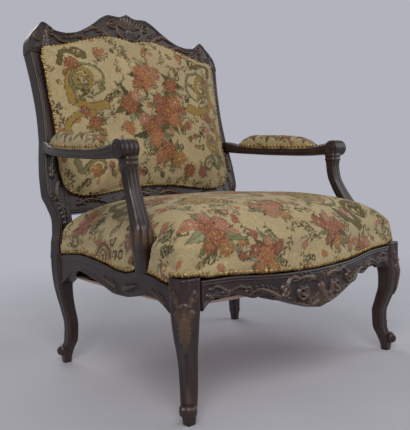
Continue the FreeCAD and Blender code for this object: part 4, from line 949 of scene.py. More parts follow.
def paintLeaf(color, u, v, x, y, angle, length, width, ink):
    a = math.radians(angle)
    s = (u - x) * math.cos(a) + (v - y) * math.sin(a)
    t = -(u - x) * math.sin(a) + (v - y) * math.cos(a)
    near = (s > -3) & (s < length + 3) & (np.abs(t) < width + 3)
    if not near.any():
        return
    s, t = s[near], t[near]
    share = np.clip(s / length, 0, 1)
    half = width / 2 * np.sin(np.pi * share ** 0.8) * (0.84 + 0.16 * np.abs(np.sin(share * np.pi * 5)))
    inside = soft(np.abs(t) - half) * (s > 0) * (s < length)
    part = color[near]
    lay(part, inside, inks["shade"])
    lay(part, soft(np.abs(t) - half + 1.5) * (s > 0) * (s < length), inks[ink])
    light = np.array(inks[ink]) * 1.35
    lay(part, soft(np.abs(t - half * 0.45) - half * 0.28) * inside * 0.7, tuple(light))
    lay(part, soft(np.abs(t) - 0.5, 1.0) * inside * 0.8, inks["shade"])
    color[near] = part


def paintFlower(color, u, v, x, y, radius, petals, ink, deep, heart, turn=0):
    r = np.hypot(u - x, v - y)
    near = r < radius * 1.2
    if not near.any():
        return
    rr, angle = r[near], np.arctan2(v[near] - y, u[near] - x) + turn
    ruffle = 1 + 0.10 * np.sin(angle * 11 + turn * 3) + 0.07 * np.sin(angle * 17 + rr * 0.4)
    part = color[near]
    for ring, (scale, shade) in enumerate([(1.0, 0.92), (0.8, 1.15), (0.62, 0.78), (0.46, 1.2), (0.3, 0.7)]):
        wave = np.abs(np.cos(angle * petals / 2 + ring * 1.3))
        edge = radius * scale * (0.85 + 0.15 * wave ** 0.6) * ruffle
        lay(part, soft(rr - edge), inks[deep] if ring % 2 == 0 else inks["shade"])
        tone = np.array(inks[ink]) * shade
        lay(part, soft(rr - edge + 1.5) * (0.4 + 0.6 * wave), tuple(tone))
        streak = np.abs(np.sin(angle * petals * 2.5 + ring)) ** 6
        bright = np.array(inks["pink" if ring % 2 else ink]) * 1.2
        lay(part, soft(np.abs(rr - edge * 0.84) - 1.1) * wave * 0.6, tuple(bright))
        lay(part, soft(rr - edge + 2) * streak * 0.35, inks["ochre"])
    lay(part, soft(rr - radius * 0.14), inks[heart])
    color[near] = part


def paintStroke(color, u, v, path, start, end, ink, lobes=9.0):
    wide = strokeHeight(u, v, path, start, end, 1.0, lobes)
    narrow = strokeHeight(u, v, path, start - 1.6, max(end - 1.4, 0.5), 1.0, lobes)
    lay(color, np.clip(wide * 3, 0, 1), inks["shade"])
    lay(color, np.clip(narrow * 3, 0, 1), inks[ink])
    lay(color, np.clip((narrow - 0.72) * 3.5, 0, 1) * 0.7, tuple(np.array(inks[ink]) * 1.4))


def paintSpray(color, u, v, x, y, angle, length, ink, count=5):
    a = math.radians(angle)
    bend = (x + length * 0.5 * math.cos(a + 0.25), y + length * 0.5 * math.sin(a + 0.25))
    path = curveThrough([(x, y), bend, (x + length * math.cos(a), y + length * math.sin(a))], 16)
    lay(color, np.clip(strokeHeight(u, v, path, 1.1, 0.8, 1.0) * 3, 0, 1) * 0.9, inks["olive"])
    for index in range(count):
        spot = path[3 + int(index * 12 / count)]
        side = 1 if index % 2 else -1
        paintLeaf(color, u, v, spot[0], spot[1], angle + side * 52, length * 0.32, length * 0.13, ink)
    paintLeaf(color, u, v, path[-1][0], path[-1][1], angle, length * 0.3, length * 0.12, ink)


def paintBouquet(color, u, v, blooms, leaves):
    for x, y, angle, length, width, ink in leaves:
        paintLeaf(color, u, v, x, y, angle, length, width, ink)
    for x, y, radius, petals, ink, deep, heart in blooms:
        paintFlower(color, u, v, x, y, radius, petals, ink, deep, heart, x * 0.1)


def paintScatter(color, u, v, box, count, seed, size=1.0):  # small fillings between the big motifs
    numbers = np.random.default_rng(seed)
    greens = ["sage", "olive", "grey", "gold", "moss"]
    flowers = [("rose", "burgundy"), ("salmon", "terracotta"), ("pink", "rose"), ("ochre", "terracotta"),
               ("terracotta", "burgundy")]
    for index in range(count):
        x = numbers.uniform(box[0], box[1])
        y = numbers.uniform(box[2], box[3])
        if index % 4 == 0:
            ink, deep = flowers[int(numbers.integers(5))]
            radius = numbers.uniform(7, 13) * size
            paintFlower(color, u, v, x, y, radius, 5, ink, deep, "ochre", numbers.uniform(0, 6))
        elif index % 4 == 1:
            turn = numbers.uniform(0, 360)
            sense = 1 if index % 8 == 1 else -1
            path = spiralPath(x, y, numbers.uniform(8, 15) * size, 1.2, turn, sense=sense)
            paintStroke(color, u, v, path, 4.2 * size, 1.8, greens[int(numbers.integers(5))], 5.0)
        else:
            turn, length = numbers.uniform(0, 360), numbers.uniform(24, 44) * size
            paintSpray(color, u, v, x, y, turn, length, greens[int(numbers.integers(5))])


def wander(u, v):  # the weaver's lines waver a little
    return (u + 1.6 * np.sin(v * 0.11 + 1) + 0.9 * np.sin(v * 0.37 + u * 0.2),
            v + 1.6 * np.sin(u * 0.10 + 2) + 0.9 * np.sin(u * 0.41 + v * 0.17))


def speckle(color, u, v, seed):  # the motifs are broken up by the stitches and by threads of other colours
    numbers = np.random.default_rng(seed)
    weave = 0.5 + 0.25 * np.sin(u * 1.15 + 2.1 * np.sin(v * 0.23)) + 0.25 * np.sin(v * 1.3 + 1.7 * np.sin(u * 0.19))
    grain = numbers.standard_normal(len(u))
    color = color * (0.86 + 0.2 * weave + 0.05 * grain)[:, None]
    fleck = np.clip((weave - 0.86) * 6, 0, 1) * 0.35
    lay(color, fleck, inks["olive"])
    lay(color, np.clip((0.12 - weave) * 6, 0, 1) * 0.35, inks["cream"])
    return color


def groundColor(u, seed):
    numbers = np.random.default_rng(seed)
    color = np.tile(np.array(ground), (len(u), 1))
    return color * (1 + 0.03 * numbers.standard_normal(len(u)))[:, None]


def paintBack(u, v):  # u across, v up the back from the nail line's foot
    u, v = wander(u, v)
    color = groundColor(u, 3)
    paintScatter(color, u, v, (-300, 300, -20, 450), 340, 11, 0.85)
    for side in (1, -1):
        w = u * side
        for path, start, end, ink in (
            (spiralPath(212, 300, 36, 1.5, 20, [(150, 232), (196, 226), (244, 250)]), 15, 5, "gold"),
            (spiralPath(190, 300, 52, 0.8, 330, inner=0.8), 6, 4, "sage"),
            (spiralPath(206, 380, 22, 1.4, 210, [(262, 350), (250, 384)], sense=-1), 9, 3, "olive"),
            (spiralPath(226, 128, 32, 1.5, 300, [(196, 210), (246, 200), (264, 160)], sense=-1), 12, 4, "gold"),
            (spiralPath(196, 62, 24, 1.4, 30, [(254, 84), (242, 52)]), 9, 3, "sage"),
        ):
            paintStroke(color, w, v, path, start, end, ink)
        for x, y, angle, length in ((186, 240, 60, 60), (238, 232, 120, 46), (188, 190, 250, 54),
                                    (262, 222, 20, 40), (160, 340, 100, 50)):
            paintSpray(color, w, v, x, y, angle, length, "sage")
    singles = [
        (-232, 348, 20, "terracotta", "burgundy"), (-190, 182, 20, "terracotta", "burgundy"),
        (-214, 214, 13, "rose", "burgundy"), (222, 206, 18, "rose", "burgundy"), (204, 170, 12, "pink", "rose"),
        (150, 398, 15, "salmon", "terracotta"), (-140, 388, 13, "salmon", "terracotta"),
        (-116, 24, 16, "salmon", "terracotta"), (118, 46, 21, "terracotta", "burgundy"),
        (168, 40, 18, "rose", "burgundy"), (-204, 52, 18, "ochre", "terracotta"),
    ]
    for x, y, radius, ink, deep in singles:
        paintFlower(color, u, v, x, y, radius, 6, ink, deep, "ochre", x)
    leaves = []
    for x, y, count, length in ((-4, 322, 12, 66), (60, 224, 14, 84), (-66, 238, 12, 72), (2, 150, 12, 80),
                                (60, 96, 9, 58), (84, 306, 8, 50)):
        for k in range(count):
            leaves.append((x, y, 360 * k / count + x, length * (0.8 + 0.2 * math.sin(k * 2.3)), length * 0.3,
                           leafInks[k % 4]))
    blooms = [
        (-4, 322, 38, 7, "salmon", "terracotta", "ochre"), (30, 334, 22, 6, "pink", "rose", "ochre"),
        (-30, 300, 21, 6, "terracotta", "burgundy", "ochre"), (88, 300, 25, 6, "terracotta", "burgundy", "ochre"),
        (62, 226, 44, 8, "terracotta", "burgundy", "ochre"), (36, 252, 24, 6, "rose", "burgundy", "ochre"),
        (92, 248, 22, 6, "salmon", "terracotta", "cream"), (84, 196, 23, 6, "salmon", "terracotta", "ochre"),
        (-70, 240, 30, 7, "terracotta", "burgundy", "ochre"), (-48, 262, 18, 5, "pink", "rose", "cream"),
        (-84, 170, 20, 5, "salmon", "terracotta", "ochre"), (-4, 176, 34, 7, "terracotta", "burgundy", "ochre"),
        (26, 196, 22, 6, "rose", "burgundy", "ochre"), (-30, 196, 18, 5, "pink", "rose", "cream"),
        (6, 140, 26, 6, "salmon", "terracotta", "ochre"), (44, 106, 26, 6, "terracotta", "burgundy", "ochre"),
        (14, 88, 22, 6, "salmon", "terracotta", "ochre"), (78, 78, 24, 6, "ochre", "terracotta", "cream"),
        (120, 226, 14, 5, "rose", "burgundy", "ochre"), (128, 180, 13, 5, "terracotta", "burgundy", "ochre"),
    ]
    paintBouquet(color, u, v, blooms, leaves)
    return speckle(color, u, v, 4)


def paintSeat(u, v):  # u across, v from back to front unfolded over the edges, nearest the viewer lowest
    u, v = wander(u, v)
    color = groundColor(u, 5)
    paintScatter(color, u, v, (-440, 440, -440, 270), 760, 23, 1.0)
    scrolls = [
        (spiralPath(150, -170, 44, 1.6, 20, [(40, -70), (110, -90), (176, -120)]), 17, 6, "gold"),
        (spiralPath(150, -170, 62, 0.9, 40, inner=0.85), 7, 4, "sage"),
        (spiralPath(236, -236, 32, 1.5, 200, [(150, -250), (190, -290)], sense=-1), 14, 5, "olive"),
        (spiralPath(-170, -120, 40, 1.6, 160, [(-60, -60), (-120, -60), (-180, -74)], sense=-1), 14, 5, "gold"),
        (spiralPath(250, -60, 36, 1.5, 300, [(190, 30), (250, 30)]), 13, 5, "sage"),
        (spiralPath(-250, 60, 36, 1.5, 240, [(-190, 140), (-250, 130)], sense=-1), 12, 4, "olive"),
        (spiralPath(-388, 40, 46, 2.6, 90, [(-376, 140), (-424, 120)]), 11, 5, "pink"),
        (spiralPath(-388, 40, 36, 2.0, 270), 6, 3, "olive"),
        (spiralPath(388, 30, 44, 2.4, 90, [(376, 130), (424, 110)], sense=-1), 11, 5, "gold"),
    ]
    for path, start, end, ink in scrolls:
        paintStroke(color, u, v, path, start, end, ink)
    clusters = [  # place, size, number of the ink set
        (-262, -250, 1.0, 2), (20, -20, 1.0, 0), (-90, 110, 0.8, 3), (150, 100, 0.8, 1), (290, -150, 0.75, 4),
        (70, -300, 0.85, 1), (-330, -90, 0.75, 0), (330, 130, 0.7, 2), (-60, -220, 0.8, 3), (-300, 170, 0.75, 1),
        (-150, -330, 0.8, 0), (190, -350, 0.7, 2), (-180, 30, 0.7, 2), (100, -110, 0.6, 3), (0, 190, 0.7, 1),
    ]
    inkSets = [("salmon", "terracotta"), ("rose", "burgundy"), ("terracotta", "burgundy"), ("pink", "rose"),
               ("burgundy", "shade")]
    for x, y, size, kind in clusters:
        leaves = [(x, y, angle + x, (70 + 16 * math.sin(angle)) * size, 22 * size, leafInks[k % 4])
                  for k, angle in enumerate(range(0, 360, 30))]
        ink, deep = inkSets[kind]
        second, secondDeep = inkSets[(kind + 1) % 4]
        blooms = [(x, y, 32 * size, 7, ink, deep, "ochre"),
                  (x + 40 * size, y + 14 * size, 20 * size, 6, second, secondDeep, "ochre"),
                  (x - 36 * size, y + 24 * size, 20 * size, 6, second, secondDeep, "cream"),
                  (x + 14 * size, y - 40 * size, 19 * size, 5, "ochre", "terracotta", "cream"),
                  (x - 28 * size, y - 32 * size, 16 * size, 5, ink, deep, "ochre"),
                  (x + 8 * size, y + 38 * size, 15 * size, 5, "pink", "rose", "ochre")]
        paintBouquet(color, u, v, blooms, leaves)
    return speckle(color, u, v, 6)


def paintPad(u, v, side):
    color = groundColor(u, 7 + side)
    paintScatter(color, u, v, (-60, 60, -20, 300), 60, 31 + side, 0.65)
    for k, y in enumerate((26, 92, 160, 226)):
        ink, deep = (("pink", "rose"), ("terracotta", "burgundy"))[(k + side) % 2]
        leaves = [(0, y, angle + 30 * k, 42, 16, ("sage", "grey", "olive")[j % 3])
                  for j, angle in enumerate(range(0, 360, 60))]
        paintBouquet(color, u, v, [((-1) ** k * 6, y, 18, 6, ink, deep, "cream")], leaves)
    return speckle(color, u, v, 8)


def closedMesh(name, rings):
    piece = Piece()
    piece.addGrid(rings)
    return newObject(name, np.vstack(piece.verts), piece.faces)


def points(item):
    flat = np.zeros(len(item.data.vertices) * 3, np.float32)
    item.data.vertices.foreach_get("co", flat)
    return flat.reshape(-1, 3).astype(float)


def setPoints(item, coords):
    item.data.vertices.foreach_set("co", coords.astype(np.float32).ravel())
    item.data.update()


def takeShape(item):  # the modifiers' result becomes the mesh itself
    graph = bpy.context.evaluated_depsgraph_get()
    mesh = bpy.data.meshes.new_from_object(item.evaluated_get(graph))
    item.modifiers.clear()
    item.data = mesh


filling = {"pressure": 4.0, "steps": 20, "quality": 4, "smoothing": 4}


def inflate(item, voxel, pinned, cap):  # blows the cover up from inside, by no more than cap, held at its nails
    remesh = item.modifiers.new("even", "REMESH")
    remesh.mode = "VOXEL"
    remesh.voxel_size = voxel
    takeShape(item)
    smooth = item.modifiers.new("soften", "SMOOTH")
    smooth.factor = 0.5
    smooth.iterations = filling["smoothing"]
    takeShape(item)
    before = points(item)
    group = item.vertex_groups.new(name="nailed")
    group.add([int(i) for i in np.nonzero(pinned(inMillimetres(before)))[0]], 1.0, "REPLACE")
    cloth = item.modifiers.new("cloth", "CLOTH")
    cloth.settings.quality = filling["quality"]
    cloth.settings.use_pressure = True
    cloth.settings.uniform_pressure_force = filling["pressure"]
    cloth.settings.effector_weights.gravity = 0
    cloth.settings.vertex_group_mass = "nailed"
    cloth.collision_settings.use_collision = False
    cloth.point_cache.frame_start = 1
    cloth.point_cache.frame_end = filling["steps"]
    for step in range(1, filling["steps"] + 1):
        scene.frame_set(step)
    takeShape(item)
    scene.frame_set(1)
    move = points(item) - before
    size = np.linalg.norm(move, axis=1, keepdims=True)
    limit = np.minimum(size, cap) / np.maximum(size, 1e-9)
    setPoints(item, before + move * limit)
    divide = item.modifiers.new("divide", "SUBSURF")
    divide.levels = divide.render_levels = 1
    takeShape(item)
    item.vertex_groups.clear()
    item.data.polygons.foreach_set("use_smooth", [True] * len(item.data.polygons))


def dress(item, color, replaced):
    layer = item.data.color_attributes.new("weaveColor", "FLOAT_COLOR", "POINT")
    full = np.concatenate([np.clip(color, 0, 1), np.ones((len(color), 1))], axis=1)
    layer.data.foreach_set("color", full.astype(np.float32).ravel())
    item.data.materials.clear()
    item.data.materials.append(tapestry)
    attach(item, "root")
    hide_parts(*replaced)
    print("stage:", item.name, len(item.data.polygons), "faces")


seat = {
    "railTop": 285.0, "wall": 62.0, "crown": 139.0, "middle": 42.0, "belly": 1.5, "voxel": 0.0055, "cap": 0.007,
    "inset": 3.0, "cornerFront": 34.0, "cornerBack": 28.0, "back": 292.0,
    "cornerFoot": 288.5, "backFoot": 292.0, "postFront": 258.5, "postInner": 275.5,
    "dome": [(0, 0), (0.023, 0.10), (0.054, 0.22), (0.12, 0.4), (0.235, 0.62), (0.387, 0.83), (0.587, 0.97),
             (0.8, 1.0), (1.0, 1.0)],
    "domeShares": (0.004, 0.012, 0.023, 0.038, 0.054, 0.085, 0.12, 0.17, 0.235, 0.31, 0.387, 0.48, 0.587, 0.7,
                   0.82, 0.93),
}


def seatRim(count):  # the outline in plan, from the front's middle round to the right and back
    frontCorner, backCorner, back = seat["cornerFront"], seat["cornerBack"], seat["back"]
    front = seatRail["frontFace"] + seat["inset"]
    halfFront = float(sideOuterX(front + frontCorner)) - seat["inset"]
    halfBack = float(sideOuterX(back - backCorner)) - seat["inset"]
    xs = np.linspace(0, halfFront - frontCorner, 60)
    right = [(x, front - float(frontBow(np.array([x]))[0])) for x in xs]
    for cx, cy, r, start in ((halfFront - frontCorner, front + frontCorner, frontCorner, -90),
                             (halfBack - backCorner, back - backCorner, backCorner, 0)):
        for angle in np.radians(np.linspace(start, start + 90, 14)):
            right.append((cx + r * math.cos(angle), cy + r * math.sin(angle)))
    outline = right + [(-x, y) for x, y in reversed(right[1:])]
    return evenSpots(np.array(outline + outline[:1]), count, endpoint=False)


def seatFoot(x, y):  # height of the upholstery's lower edge
    across = np.abs(x)
    frontShare = np.clip(across / seatRail["frontHalf"], 0, 1)
    front = seat["railTop"] + smoothTable(seatRail["frontTop"], frontShare)[0]
    side = seat["railTop"] + smoothTable(seatRail["sideTop"], np.clip(sideShare(y), 0, 1))[0]
    corner = np.where(across < seatRail["frontHalf"], front, seat["cornerFoot"])
    return np.where(y > 255, seat["backFoot"], np.where(y < seatRail["sideFront"], corner, side))


def supportDent(coords):  # the cover is cut and turned in round the arm's support, and kept off the back posts
    x, y, z = coords.T
    share = np.clip((z - support["base"]) / (support["top"] - support["base"]), -0.04, 1)
    out, back, width, length = smoothTable(support["table"], share)
    inner = support["x"] + out - width / 2 - support["coverGap"]
    off = np.abs(y - (support["y"] + back)) - length / 2 - support["coverSlit"]
    ease = support["coverEase"]
    hold = np.clip(1 - off / ease, 0, 1) ** 0.7
    over = np.maximum(np.abs(x) - inner, 0)
    coords[:, 0] = np.sign(x) * (np.abs(x) - over * np.where(off < 0, 1, hold * (off < ease)))
    atPost = (y > seat["postFront"]) & (np.abs(x) > seat["postInner"])
    coords[:, 0] = np.where(atPost, np.sign(x) * seat["postInner"], coords[:, 0])
    return coords


def buildSeat():
    rim = seatRim(260)
    foot = seatFoot(rim[:, 0], rim[:, 1])
    half = rim[:, 0].max()
    centre = np.array([0, seat["middle"]])
    edge = seat["railTop"] + seat["wall"]
    rows = []
    for inset, lift in ((60, 6), (14, 2), (3, 0)):  # the turned-in bottom
        rows.append(np.column_stack([centre + (rim - centre) * (1 - inset / half), foot + lift]))
    for share in (0.02, 0.25, 0.5, 0.75, 0.92):  # the wall
        flat = centre + (rim - centre) * (1 + seat["belly"] * math.sin(math.pi * share) / half)
        rows.append(np.column_stack([flat, foot + (edge - foot) * share]))
    for share in seat["domeShares"]:  # the crown
        rise = float(smoothTable(seat["dome"], share)[0][0])
        level = np.full(len(rim), edge + (seat["crown"] - seat["wall"]) * rise)
        rows.append(np.column_stack([centre + (rim - centre) * (1 - share), level]))
    item = closedMesh("upholsteredSeat", np.array(rows))
    inflate(item, seat["voxel"], lambda c: c[:, 2] < seatFoot(c[:, 0], c[:, 1]) + 9, seat["cap"])
    coords = supportDent(inMillimetres(points(item)))
    x, y, z = coords.T
    drop = np.clip(edge + 4 - z, 0, 90)  # the cloth's length down the wall
    onSide = (np.abs(x) > sideOuterX(y) - 30) & (y > seatRail["frontFace"] + 30)
    u = np.where(onSide, x + np.sign(x) * drop, x)
    v = np.where(onSide | (y > 200), y, y - drop)
    color = paintSeat(u, v)
    # painted shade: the cover is darkened within 7 mm above its lower edge, where it meets the rail and turns under
    under = np.clip((seatFoot(x, y) + 7 - z) / 7, 0, 1)[:, None]
    color = color * (1 - 0.45 * under)
    setPoints(item, inMetres(coords))
    dress(item, color, ["seat_cover", "seat_stuffing"])
    return item


backShape = {  # the outline is in shares of inner and top
    "outline": [(0.0, 0.02), (0.22, 0.018), (0.5, -0.008), (0.66, -0.023), (0.82, -0.027), (0.95, -0.01),
                (1.03, 0.03), (1.068, 0.11), (1.076, 0.25), (1.063, 0.44), (1.07, 0.6), (1.08, 0.78), (1.092, 0.93),
                (1.085, 1.02), (1.04, 1.05), (0.92, 1.058), (0.76, 1.09), (0.6, 1.125), (0.43, 1.158),
                (0.25, 1.18), (0.09, 1.166), (0.0, 1.153)],
    "inner": 277.0, "top": 382.0, "middle": 214.0, "voxel": 0.0055, "cap": 0.007, "edge": 0.4, "nailed": 5.0,
    "bulge": [(0.0, 0.3), (0.004, 7), (0.02, 16), (0.045, 22), (0.09, 28), (0.16, 33), (0.26, 36.5), (0.4, 38.5),
              (0.6, 39.5), (1.0, 40)],
}


def backOutline(count):
    right = [(x * backShape["inner"], y * backShape["top"]) for x, y in backShape["outline"]]
    outline = right + [(-x, y) for x, y in reversed(right[1:-1])]
    return evenSpots(curveThrough(outline + outline[:1], 400), count, endpoint=False)


def scaledOutline(outline, keep, front):  # a smaller copy of the back's outline, forward of the frame's face
    centre = np.array([0, backShape["middle"]])
    flat = centre + (outline - centre) * keep
    return backPoint(flat[:, 0], flat[:, 1], np.full(len(flat), front))


def buildBack():
    outline = backOutline(240)
    inwards = [0.02, 0.033, 0.05, 0.075, 0.11, 0.16, 0.22, 0.3, 0.4, 0.52, 0.66, 0.8, 0.92]
    rises = smoothTable(backShape["bulge"], [0.003, 0.006, 0.012] + inwards)[0]
    rows = [scaledOutline(outline, 1 - inset, backShape["edge"]) for inset in (0.5, 0.1, 0.0)]
    rows += [scaledOutline(outline, 1 - inset, front) for inset, front in zip([0.0, 0.003, 0.01] + inwards, rises)]
    item = closedMesh("upholsteredBack", np.array(rows))

    def frontOf(coords):
        return -(coords[:, 1] - backPivot[0]) * math.cos(rake) + (coords[:, 2] - backPivot[1]) * math.sin(rake)

    nailed = backShape["nailed"]
    inflate(item, backShape["voxel"], lambda c: frontOf(c) < nailed, backShape["cap"])
    coords = inMillimetres(points(item))
    rise = (coords[:, 1] - backPivot[0]) * math.sin(rake) + (coords[:, 2] - backPivot[1]) * math.cos(rake)
    color = paintBack(coords[:, 0], rise)
    # painted shade: the cover is darkened within the nailed depth of the frame's face, where it tucks into the frame
    color *= (1 - 0.4 * np.clip((nailed - frontOf(coords)) / nailed, 0, 1))[:, None]
    dress(item, color, ["back_cover", "back_stuffing"])
    return item


pads = {  # rows are share of the length, height, width
    "back": 252.0, "front": -22.0, "rise": 40.0, "width": 47.0, "voxel": 0.004, "cap": 0.004, "sunk": 4.0,
    "table": [(0, 0.12, 0.62), (0.06, 0.55, 0.88), (0.2, 0.88, 1), (0.5, 1, 1), (0.8, 0.98, 0.98),
              (0.94, 0.62, 0.86), (1, 0.15, 0.58)],
}


def armTop(y):
    inward, rise, width, tall = smoothTable(arms["table"], np.clip((y - arms["start"]) / arms["length"], 0, 1))
    return arms["spread"] - inward, arms["height"] + rise + tall / 2


def padRing(middle, top, half, tall):
    ring = []
    for a in np.linspace(0, np.pi, 22):
        lift = 0.45 * min(1, math.sin(a) * 2.2) + 0.55 * math.sin(a)
        ring.append((middle + half * math.cos(a), top + tall * lift))
    return ring + [(middle + half * share, top - pads["sunk"]) for share in (-0.96, 0, 0.96)]


def buildPads():
    built = []
    share = np.linspace(0, 1, 60)
    rise, width = smoothTable(pads["table"], share)
    y = pads["front"] + share * (pads["back"] - pads["front"])
    middle, top = armTop(y)
    half = pads["width"] / 2 * width
    for index, (side, sign) in enumerate((("right", 1), ("left", -1))):
        rings = [[(sign * x, y[k], z) for x, z in padRing(middle[k], top[k], half[k], pads["rise"] * rise[k] - 1)]
                 for k in range(len(share))]
        item = closedMesh("armPad_" + side, np.array(rings))
        inflate(item, pads["voxel"], lambda c: c[:, 2] < armTop(c[:, 1])[1] + 3, pads["cap"])
        coords = inMillimetres(points(item))
        place, level = armTop(coords[:, 1])
        u = coords[:, 0] * sign - place
        drop = np.clip(pads["rise"] * 0.8 - (coords[:, 2] - level), 0, 40)
        u = u + np.sign(u) * drop * (np.abs(u) > 14)
        color = paintPad(u, coords[:, 1] - pads["front"], index)
        dress(item, color, ["arm_pad_cover_" + side, "arm_pad_stuffing_" + side])
        built.append(item)
    return built


seatPad = buildSeat()
backPad = buildBack()
armPads = buildPads()


nails = {"pitch": 0.0125, "radius": 0.0046, "height": 0.0028, "rows": 3, "sides": 10, "sunk": 0.0004}


def nailTree():
    group = bpy.data.node_groups.new("closeNails", "GeometryNodeTree")
    socket = group.interface.new_socket
    socket(name="Path", in_out="INPUT", socket_type="NodeSocketGeometry")
    pitch = socket(name="Pitch", in_out="INPUT", socket_type="NodeSocketFloat")
    nail = socket(name="Nail", in_out="INPUT", socket_type="NodeSocketObject")
    finish = socket(name="Finish", in_out="INPUT", socket_type="NodeSocketMaterial")
    socket(name="Nails", in_out="OUTPUT", socket_type="NodeSocketGeometry")
    make = group.nodes.new
    entry, leave = make("NodeGroupInput"), make("NodeGroupOutput")
    curve, resample = make("GeometryNodeMeshToCurve"), make("GeometryNodeResampleCurve")
    resample.mode = "LENGTH"
    facing = make("GeometryNodeInputNamedAttribute")
    facing.data_type = "FLOAT_VECTOR"
    facing.inputs["Name"].default_value = "facing"
    align, place = make("FunctionNodeAlignRotationToVector"), make("GeometryNodeInstanceOnPoints")
    align.axis = "Z"
    source, realize = make("GeometryNodeObjectInfo"), make("GeometryNodeRealizeInstances")
    paint = make("GeometryNodeSetMaterial")
    link = group.links.new
    link(entry.outputs["Path"], curve.inputs["Mesh"])
    link(curve.outputs["Curve"], resample.inputs["Curve"])
    link(entry.outputs["Pitch"], resample.inputs["Length"])
    link(resample.outputs["Curve"], place.inputs["Points"])
    link(facing.outputs["Attribute"], align.inputs["Vector"])
    link(align.outputs["Rotation"], place.inputs["Rotation"])
    link(entry.outputs["Nail"], source.inputs["Object"])
    link(source.outputs["Geometry"], place.inputs["Instance"])
    link(place.outputs["Instances"], realize.inputs["Geometry"])
    link(realize.outputs["Geometry"], paint.inputs["Geometry"])
    link(entry.outputs["Finish"], paint.inputs["Material"])
    link(paint.outputs["Geometry"], leave.inputs["Nails"])
    return group, pitch.identifier, nail.identifier, finish.identifier


def nailHead():
    verts, faces = [], []
    rows, sides = nails["rows"], nails["sides"]
    for row in range(rows + 1):
        a = math.pi / 2 * row / (rows + 0.6)
        for k in range(sides):
            t = 2 * math.pi * k / sides
            verts.append((nails["radius"] * math.cos(a) * math.cos(t), nails["radius"] * math.cos(a) * math.sin(t),
                          nails["height"] * math.sin(a) - nails["sunk"]))
    for row in range(rows):
        for k in range(sides):
            j = (k + 1) % sides
            faces.append((row * sides + k, row * sides + j, (row + 1) * sides + j, (row + 1) * sides + k))
    verts.append((0, 0, nails["height"] - 0.0003))
    top = len(verts) - 1
    faces += [(rows * sides + k, rows * sides + (k + 1) % sides, top) for k in range(sides)]
    faces.append(tuple(range(sides))[::-1])
    mesh = bpy.data.meshes.new("nailHead")
    mesh.from_pydata(verts, [], faces)
    mesh.polygons.foreach_set("use_smooth", [True] * len(mesh.polygons))
    return bpy.data.objects.new("nailHead", mesh)


nailGroup, pitchInput, nailInput, finishInput = nailTree()
head = nailHead()


def addNails(name, line, target, hints):  # hints point outwards, near the line's points
    graph = bpy.context.evaluated_depsgraph_get()
    surface = BVHTree.FromObject(target, graph)
    spots, facings = [], []
    for point, hint in zip(line, hints):
        start = Vector(point) / 1000 - Vector((0, middleY / 1000, 0))
        hint = Vector(hint).normalized()
        hit, normal, _, _ = surface.ray_cast(start + hint * 0.03, -hint, 0.06)
        if hit is None:
            hit, normal, _, _ = surface.find_nearest(start)
        facing = (normal + hint * 1.2).normalized()
        spots.append(hit + facing * 0.0002)
        facings.append(facing)
    mesh = bpy.data.meshes.new(name)
    mesh.from_pydata(spots, [(k, k + 1) for k in range(len(spots) - 1)], [])
    layer = mesh.attributes.new("facing", "FLOAT_VECTOR", "POINT")
    layer.data.foreach_set("vector", np.array(facings, np.float32).ravel())
    item = bpy.data.objects.new(name, mesh)
    scene.collection.objects.link(item)
    modifier = item.modifiers.new("nails", "NODES")
    modifier.node_group = nailGroup
    modifier[pitchInput] = nails["pitch"]
    modifier[nailInput] = head
    modifier[finishInput] = brass
    takeShape(item)
    if not item.data.materials:
        item.data.materials.append(brass)
    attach(item, "root")
    print("stage:", name, len(item.data.polygons), "faces")


def seatNails():
    rim = seatRim(420)
    ahead, behind = np.roll(rim, -1, axis=0), np.roll(rim, 1, axis=0)
    normals = np.stack([ahead[:, 1] - behind[:, 1], behind[:, 0] - ahead[:, 0]], axis=1)
    normals /= np.linalg.norm(normals, axis=1, keepdims=True)
    line = np.column_stack([rim, seatFoot(rim[:, 0], rim[:, 1]) + 7.5])
    hints = np.column_stack([normals, np.full(len(rim), -0.05)])
    x, y = rim.T
    clear = 30  # the nails stop this far from an arm's support
    fromBack = np.roll(np.arange(len(rim)), len(rim) // 2)
    runs = {
        "Front": [i for i in fromBack if y[i] < support["y"] - clear],
        "Right": [i for i in range(len(rim)) if x[i] > 0 and support["y"] + clear < y[i] < 252],
        "Left": [i for i in range(len(rim)) if x[i] < 0 and support["y"] + clear < y[i] < 252],
        "Back": [i for i in range(len(rim)) if y[i] > 285 and abs(x[i]) < 262],
    }
    for side, run in runs.items():
        addNails("nailsSeat" + side, line[run], seatPad, hints[run])


def backNails():
    outline = backOutline(500)
    line = scaledOutline(outline, 1 - 0.016, 7.0)
    outward = outline - np.array([0, backShape["middle"]])
    outward /= np.linalg.norm(outward, axis=1, keepdims=True)
    hints = [Vector((x * 0.8, -math.cos(rake) + z * 0.8 * math.sin(rake), math.sin(rake) + z * 0.8 * math.cos(rake)))
             for x, z in outward]
    addNails("nailsBack", np.vstack([line, line[:1]]), backPad, hints + hints[:1])


def padNails():
    y = np.linspace(pads["front"] + 4, pads["back"] - 4, 80)
    rise, width = smoothTable(pads["table"], (y - pads["front"]) / (pads["back"] - pads["front"]))
    middle, top = armTop(y)
    for index, (side, sign) in enumerate((("Right", 1), ("Left", -1))):
        for edge, sense in (("Outer", 1), ("Inner", -1)):
            line = np.stack([sign * (middle + sense * pads["width"] / 2 * width), y, top + 5.5], axis=1)
            addNails("nailsPad" + side + edge, line, armPads[index], [(sign * sense, 0, 0.12)] * len(y))


seatNails()
backNails()
padNails()


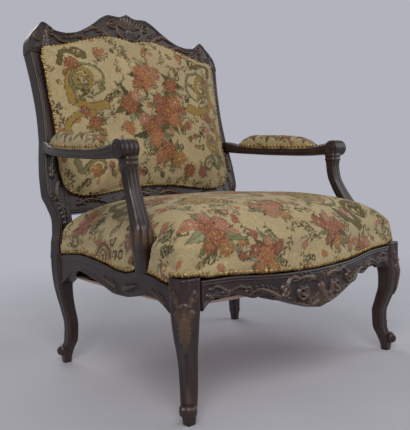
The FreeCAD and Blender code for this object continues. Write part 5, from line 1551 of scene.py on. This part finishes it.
cloths = {
    "thickness": 0.0008, "top": 232.6, "sag": 27.0, "frontHold": 28.0, "back": 283.0,
    "cornerFront": 48.0, "cornerBack": 42.0, "halfWidths": (298.0, 334.0, 304.0, 266.0),  # front to back
    "behind": 38.7, "keep": 0.979,  # the outside back's depth behind the frame's face, and its outline's share
}


def sheetMesh(name, grid, material, replaced):
    n, m = grid.shape[:2]
    index = np.arange(n * m).reshape(n, m)
    faces = np.stack([index[:-1, :-1], index[:-1, 1:], index[1:, 1:], index[1:, :-1]], axis=-1).reshape(-1, 4)
    item = newObject(name, grid.reshape(-1, 3), faces.tolist(), merge=0.00001)
    item.data.materials.append(material)
    solid = item.modifiers.new("thickness", "SOLIDIFY")
    solid.thickness = cloths["thickness"]
    solid.offset = 0
    takeShape(item)
    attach(item, "root")
    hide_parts(replaced)
    return item


def buildBottomCloth():  # tacked under the rails, with its corners cut round the legs, and sagging
    front, back = seatRail["frontFace"] + cloths["frontHold"], cloths["back"]
    y = np.linspace(front, back, 90)
    share = np.linspace(-1, 1, 110)
    corners = [front, front + cloths["cornerFront"], back - cloths["cornerBack"], back]
    x = np.interp(y, corners, cloths["halfWidths"])[:, None] * share[None, :]
    depth = (1 - share[None, :] ** 4) * (1 - ((2 * (y - front) / (back - front) - 1) ** 4))[:, None]
    wave = 1.2 * np.sin(x * 0.05 + 2) * np.sin(y * 0.045)[:, None] * depth
    z = cloths["top"] - cloths["sag"] * depth ** 0.5 + wave
    grid = np.stack([x, np.repeat(y[:, None], len(share), axis=1), z], axis=-1)
    item = sheetMesh("saggingBottomCloth", grid, lining, "bottom_cloth")


def buildOutsideCloth():
    outline = backOutline(180)
    rows = [scaledOutline(outline, keep, -cloths["behind"] - 0.5 * math.sin(keep * 3))
            for keep in np.linspace(cloths["keep"], 0, 60)]
    grid = np.array(rows)
    grid = np.concatenate([grid, grid[:, :1]], axis=1)
    item = sheetMesh("outsideBackCloth", grid, backCloth, "outside_back_cloth")


buildBottomCloth()
buildOutsideCloth()
print("stage: cloths")
